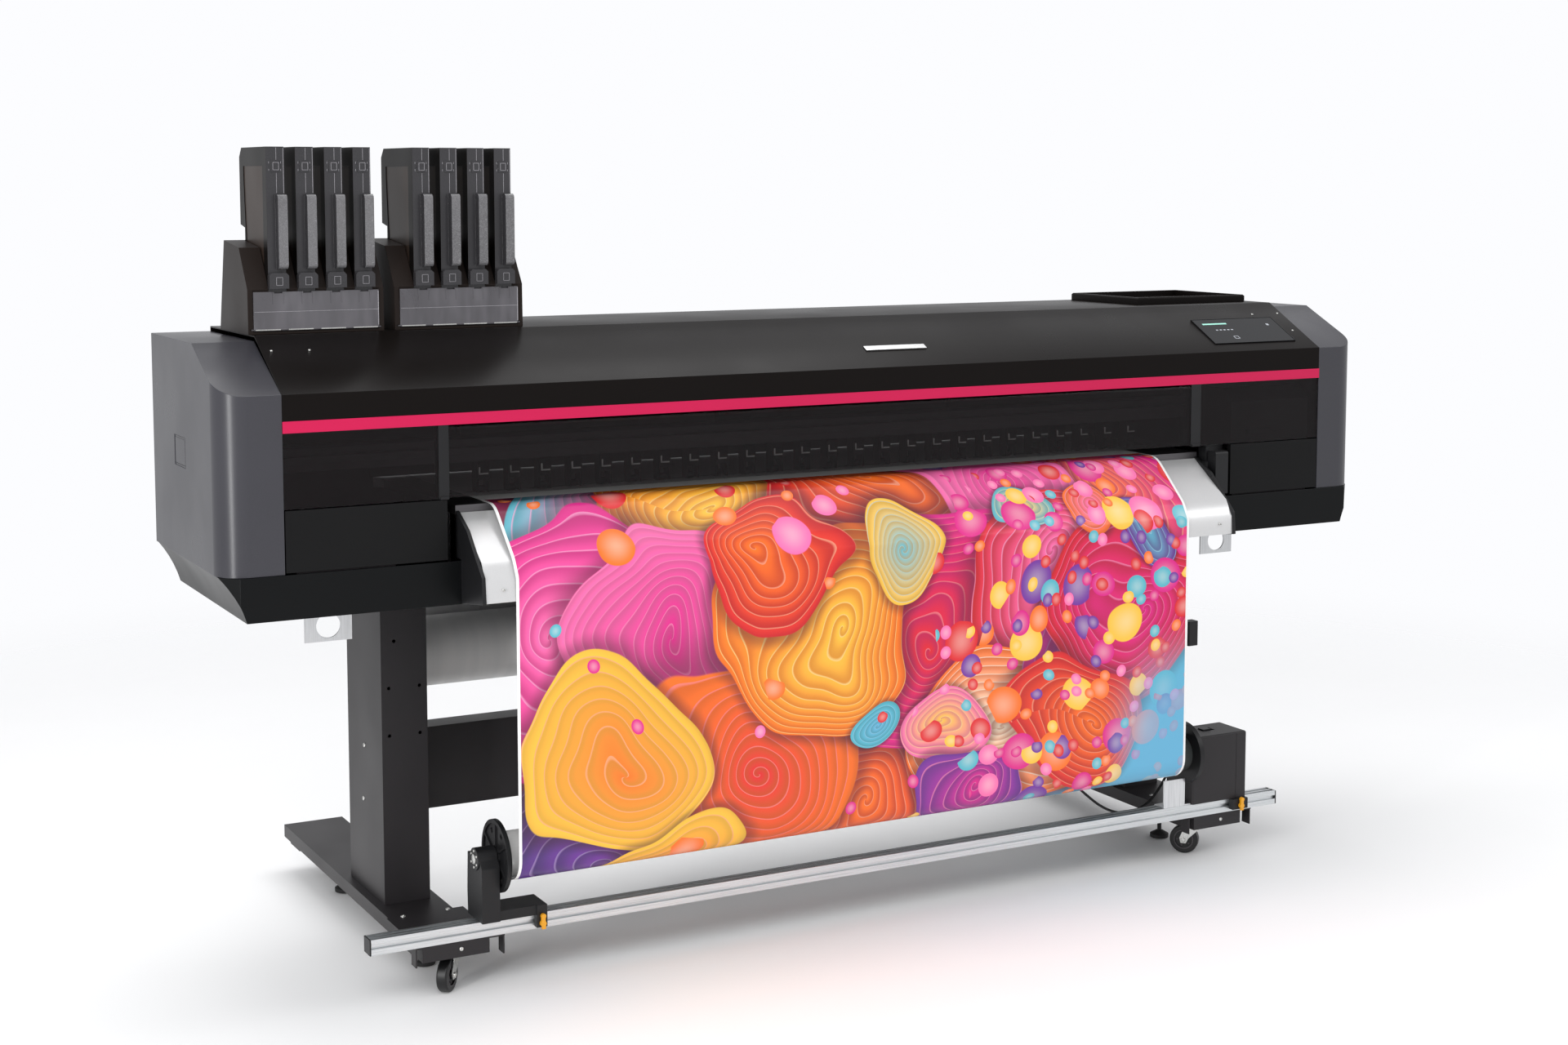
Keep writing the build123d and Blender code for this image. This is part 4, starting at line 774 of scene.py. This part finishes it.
def screen_details():
    """Plain bar, small marks and a thin rim on the touch screen."""
    slope = slope_frame()
    for name, look, marks in (("screen_bar", GLOW, [SCREEN_BAR]), ("screen_marks", MARK, SCREEN_MARKS)):
        bm = bmesh.new()
        for across, up_shift, width, height in marks:
            on_slope(bm, slope, across, up_shift, (width, height, 0.4), 1.1, 0.1)
        solid(bm, name, BODY["touch_panel"], [look])
    bm = bmesh.new()
    upright = (SCREEN_RIM, 2 * SCREEN_HALF_HEIGHT, 1.2)
    level = (2 * SCREEN_HALF_WIDTH, SCREEN_RIM, 1.2)
    for sign in (-1, 1):
        on_slope(bm, slope, sign * (SCREEN_HALF_WIDTH - 1), 0, upright, 1.0, 0.2)
        on_slope(bm, slope, 0, sign * (SCREEN_HALF_HEIGHT - 1), level, 1.0, 0.2)
    solid(bm, "screen_rim", BODY["touch_panel"], [LOOKS["part_black"]], "part_black")


screen_details()


def light_frame(bm, x, y, z, width, height, line):
    """Thin raised outline on a front face, centred at x, z."""
    for sign in (-1, 1):
        side, end = x + sign * width / 2, z + sign * height / 2
        slab(bm, (side - line / 2, y - line, z - height / 2), (side + line / 2, y + line, z + height / 2),
             0.2 * MM)
        slab(bm, (x - width / 2, y - line, end - line / 2), (x + width / 2, y + line, end + line / 2),
             0.2 * MM)


# Pale strips painted as edge highlights on a cartridge, in millimetres: x from its middle, height below its top.
CATCH_DROP, LATCH_DROP = 37, 255
LATCH_PROUD = 16.3                 # the latch stands this far before the front face
EDGES = [(-11.5 - 0.7, -11.5, 46, 42, 0.5), (-11.5 - 0.7, -11.5, 32, 28, 0.5),
         (11.5 - 0.7, 11.5, 46, 42, 0.5), (11.5 - 0.7, 11.5, 32, 28, 0.5),
         (2, 2.7, 88, 50, 0.4), (2, 2.7, 25, 2, 0.4), (15.6, 16.5, 88, 2, 0.4)]
GRIP_NOTCHES = (222, 190, 141)


def cartridge_details():
    """Pale strips painted as edge highlights: catch outlines, the upright seam, the right edge and the grip's
    notches.
    """
    line = 0.7 * MM
    for number in CARTRIDGES:
        node = f"cartridge_{number}"
        lo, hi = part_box(node)
        x, front, top = hi.x - CARTRIDGE_FROM_RIGHT, lo.y + CARTRIDGE_FRONT, hi.z
        bm = bmesh.new()
        light_frame(bm, x + 1 * MM, front - 2 * MM, top - CATCH_DROP * MM, 11 * MM, 14 * MM, line)
        for left, right, low, high, proud in EDGES:
            slab(bm, (x + left * MM, front - proud * MM, top - low * MM),
                 (x + right * MM, front + line, top - high * MM), 0.2 * MM)
        light_frame(bm, x, front - LATCH_PROUD * MM, top - LATCH_DROP * MM, 12 * MM, 15 * MM, line)
        for low in GRIP_NOTCHES:
            slab(bm, (x + 12 * MM, lo.y - 0.3 * MM, top - low * MM),
                 (x + 16 * MM, lo.y + line, top - low * MM + line), 0.2 * MM)
        solid(bm, f"cartridge_highlight_strips_{number}", BODY[node], [EDGE_HIGHLIGHT], "cartridge_grey")


cartridge_details()


# Distances of a caster's faces from the middle of its wheel, and radii round its axle.
FORK_FACE, WHEEL_FACE, HUB_FACE = 15.0 * MM, 7.8 * MM, 9.0 * MM
WHEEL_RING = (20.5 * MM, 22.5 * MM)
HUB_SCREWS, HUB_SCREW_CIRCLE = 5, 14.5 * MM


def caster_details():
    """Axle bolts on every caster's fork, and a ring and small screws on its wheel."""
    inner, outer = WHEEL_RING
    ring = [(inner, 0), (outer, 0), (outer, 3.6 * MM), (inner, 3.6 * MM), (inner, 0)]
    upright = Vector((0, 0, 1))
    for number in CASTERS:
        fork, wheel = BODY[f"caster_fork_{number}"], BODY[f"caster_wheel_{number}"]
        joint = next(j for j in frame["joints"] if j["child"] == wheel)
        axle, centre = Vector(joint["axis"]), Vector(joint["pos_m"])
        sides = [axle * sign for sign in (-1, 1)]
        bm = bmesh.new()
        for side in sides:
            cap_screw(bm, centre + side * FORK_FACE, side, 5.5 * MM, 3.5 * MM)
        solid(bm, f"caster_bolts_{number}", fork, [LOOKS["zinc"]])
        bm = bmesh.new()
        for side in sides:
            spin(bm, ring, centre + side * WHEEL_FACE, side, 48)
        for k in range(HUB_SCREWS):
            angle = 2 * math.pi * k / HUB_SCREWS
            spoke = axle.cross(upright) * math.cos(angle) + upright * math.sin(angle)
            for side in sides:
                at = centre + spoke * HUB_SCREW_CIRCLE + side * HUB_FACE
                cap_screw(bm, at, side, 2.2 * MM, 1.2 * MM)
        solid(bm, f"caster_hub_{number}", wheel, [LOOKS["inner_grey"]])


caster_details()


def badge():
    """Plain rounded bar in the middle of the sloping face, with nothing on it."""
    origin, up, normal = slope_frame()
    middle = Vector((0.11, origin.y, origin.z)) - up * 12 * MM - normal * 0.4 * MM
    bm = bmesh.new()
    on_slope(bm, (middle, up, normal), 0, 0, (150, 16, 3), 1, 1.2)
    solid(bm, "plain_badge", BODY["top_cover"], [BADGE])


badge()


BEARING_SCREWS, BEARING_CIRCLE = 6, 16 * MM
VENTS = 7


def takeup_details():
    """Bolts on the take-up's bearing column, and the switch and vents of the motor box."""
    disc_lo, disc_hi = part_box("takeup_disc")
    axis = (disc_lo + disc_hi) / 2
    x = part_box("takeup_slider")[0].x + 0.5 * MM
    outwards = (-1, 0, 0)
    bm = bmesh.new()
    for k in range(BEARING_SCREWS):
        angle = math.pi / BEARING_SCREWS + 2 * math.pi * k / BEARING_SCREWS
        at = (x, axis.y + BEARING_CIRCLE * math.cos(angle), axis.z + BEARING_CIRCLE * math.sin(angle))
        cap_screw(bm, at, outwards, 2.8 * MM, 2.2 * MM)
    cover = [(0, 0), (10, 0), (10, 2), (8.5, 3), (0, 3)]
    spin(bm, [(radius * MM, height * MM) for radius, height in cover], (x, axis.y, axis.z), outwards)
    solid(bm, "bearing_bolts", BODY["takeup_slider"], [LOOKS["zinc"]])
    lo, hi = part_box("motor_box")
    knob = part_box("drive_knob")[0].x
    bm = bmesh.new()
    for k in range(VENTS):
        z = lo.z + (75 + 9 * k) * MM
        slab(bm, (knob + 3.5 * MM, lo.y + 60 * MM, z), (knob + 5.2 * MM, lo.y + 90 * MM, z + 3 * MM), 0.4 * MM)
    slab(bm, (knob - 88 * MM, lo.y + 53 * MM, hi.z - 4.5 * MM),
         (knob - 66 * MM, lo.y + 73 * MM, hi.z + 3 * MM), 1.2 * MM)
    solid(bm, "motor_box_trim", BODY["motor_box"], [LOOKS["part_black"]])


takeup_details()


HINGE_WIRES, WIRE_SHARE = 4, 0.38  # wires along a flap, and half of each one's share of its pitch


def flap_details():
    """Hinge wire along the foot of each ink flap, and pale strips painted as highlights on its crease and its
    right edge.
    """
    for side in ("left", "right"):
        lo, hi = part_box("flap_" + side)
        body = BODY["flap_" + side]
        face = lo.y + 0.9 * MM             # the plate's front, behind the round of the hinge
        pitch = (hi.x - lo.x) / HINGE_WIRES
        bm = bmesh.new()
        for k in range(HINGE_WIRES):
            x, reach = lo.x + pitch * (k + 0.5), WIRE_SHARE * pitch
            slab(bm, (x - reach, lo.y - 0.6 * MM, lo.z + 0.8 * MM),
                 (x + reach, lo.y + 1.2 * MM, lo.z + 3.2 * MM), 0.5 * MM)
        solid(bm, f"hinge_wire_{side}", body, [LOOKS["zinc"]])
        # Painted highlights: pale strips along the flap's crease and its right edge.
        bm = bmesh.new()
        slab(bm, (lo.x + 6 * MM, face - 0.5 * MM, lo.z + 36 * MM),
             (hi.x - 6 * MM, face + 0.5 * MM, lo.z + 36.8 * MM), 0.2 * MM)
        slab(bm, (hi.x - 6.5 * MM, face - 0.5 * MM, lo.z + 6 * MM),
             (hi.x - 4.8 * MM, face + 0.5 * MM, hi.z - 2 * MM), 0.2 * MM)
        solid(bm, f"flap_edge_highlight_{side}", body, [EDGE_HIGHLIGHT], "flap_smoke")


flap_details()


def rear_shade_sheet():
    """Dark strip behind the rear slot, clear of the film, that keeps daylight out of the print bay and so paints
    shade into it.
    """
    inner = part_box("rear_cover")[0].y
    lo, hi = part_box("platen")
    left, right, top = lo.x - 22 * MM, hi.x + 22 * MM, hi.z + 46 * MM
    bm = bmesh.new()
    slab(bm, (left, inner - 9 * MM, hi.z + 2 * MM), (right, inner - 7 * MM, top), 0.4 * MM)
    slab(bm, (left, inner - 8 * MM, top - 2 * MM), (right, inner, top), 0.4 * MM)
    # The dark sheet stands in for shade inside the print bay.
    solid(bm, "rear_shade_sheet", BODY["rear_cover"], [LOOKS["foot_rubber"]], "part_black")


rear_shade_sheet()


# ---------------------------------------------------------------- floor and light
AMBIENT, BACKDROP = 0.72, 1.0      # sky strength for the object and behind it
SKY_TINT = (0.975, 0.98, 1.0, 1)
FLOOR_HALF = 30.0
FLOOR_NEAR, FLOOR_FAR = 1.9, 4.2   # the floor fades into the backdrop between these distances
# place, what it faces, width, height, power
LAMPS = [((-2.6, -3.2, 3.4), (0, 0, 0.9), 3.0, 1.8, 60), ((3.4, -2.6, 2.8), (0.5, 0, 0.8), 2.4, 1.4, 22),
         ((0.0, 0.6, 4.2), (0, 0, 1.0), 4.0, 2.4, 70), ((-3.9, -2.3, 1.1), (-1.35, -0.4, 1.0), 0.3, 1.8, 48)]


def sky():
    """Soft light all round, and a brighter plain backdrop where the camera looks past the object."""
    world = bpy.data.worlds.new("studio")
    bpy.context.scene.world = world
    world.use_nodes = True
    tree = world.node_tree
    background = tree.nodes["Background"]
    background.inputs["Color"].default_value = SKY_TINT
    path = tree.nodes.new("ShaderNodeLightPath")
    level = tree.nodes.new("ShaderNodeMix")
    level.inputs[2].default_value, level.inputs[3].default_value = AMBIENT, BACKDROP
    tree.links.new(path.outputs["Is Camera Ray"], level.inputs[0])
    tree.links.new(level.outputs[0], background.inputs["Strength"])


def floor():
    """Pale floor that turns clear with distance."""
    grid = bmesh.new()
    bmesh.ops.create_grid(grid, x_segments=8, y_segments=8, size=FLOOR_HALF)
    mesh = bpy.data.meshes.new("floor")
    grid.to_mesh(mesh)
    grid.free()
    look = surface("floor_pale", (0.97, 0.97, 0.97), 0.65, grain=300, relief=0.01, mottle=0.005,
                   specular=0.2)
    distance = look.add("ShaderNodeVectorMath", {0: look.place}, operation="LENGTH").outputs["Value"]
    look.set(Alpha=look.step(distance, FLOOR_NEAR, FLOOR_FAR, 1.0, 0.0))
    mesh.materials.append(look.material)
    plane = bpy.data.objects.new("floor", mesh)
    bpy.context.scene.collection.objects.link(plane)


def lamps():
    """Large soft lamps above, and one low narrow lamp for the left side."""
    for k, (at, target, width, height, power) in enumerate(LAMPS):
        data = bpy.data.lights.new(f"soft_{k}", "AREA")
        data.shape = "RECTANGLE"
        data.size, data.size_y = width, height
        data.energy = power
        lamp = bpy.data.objects.new(f"soft_{k}", data)
        lamp.location = at
        lamp.rotation_euler = (Vector(at) - Vector(target)).to_track_quat("Z", "Y").to_euler()
        bpy.context.scene.collection.objects.link(lamp)


sky()
floor()
lamps()
bpy.context.scene.view_settings.view_transform = "Standard"
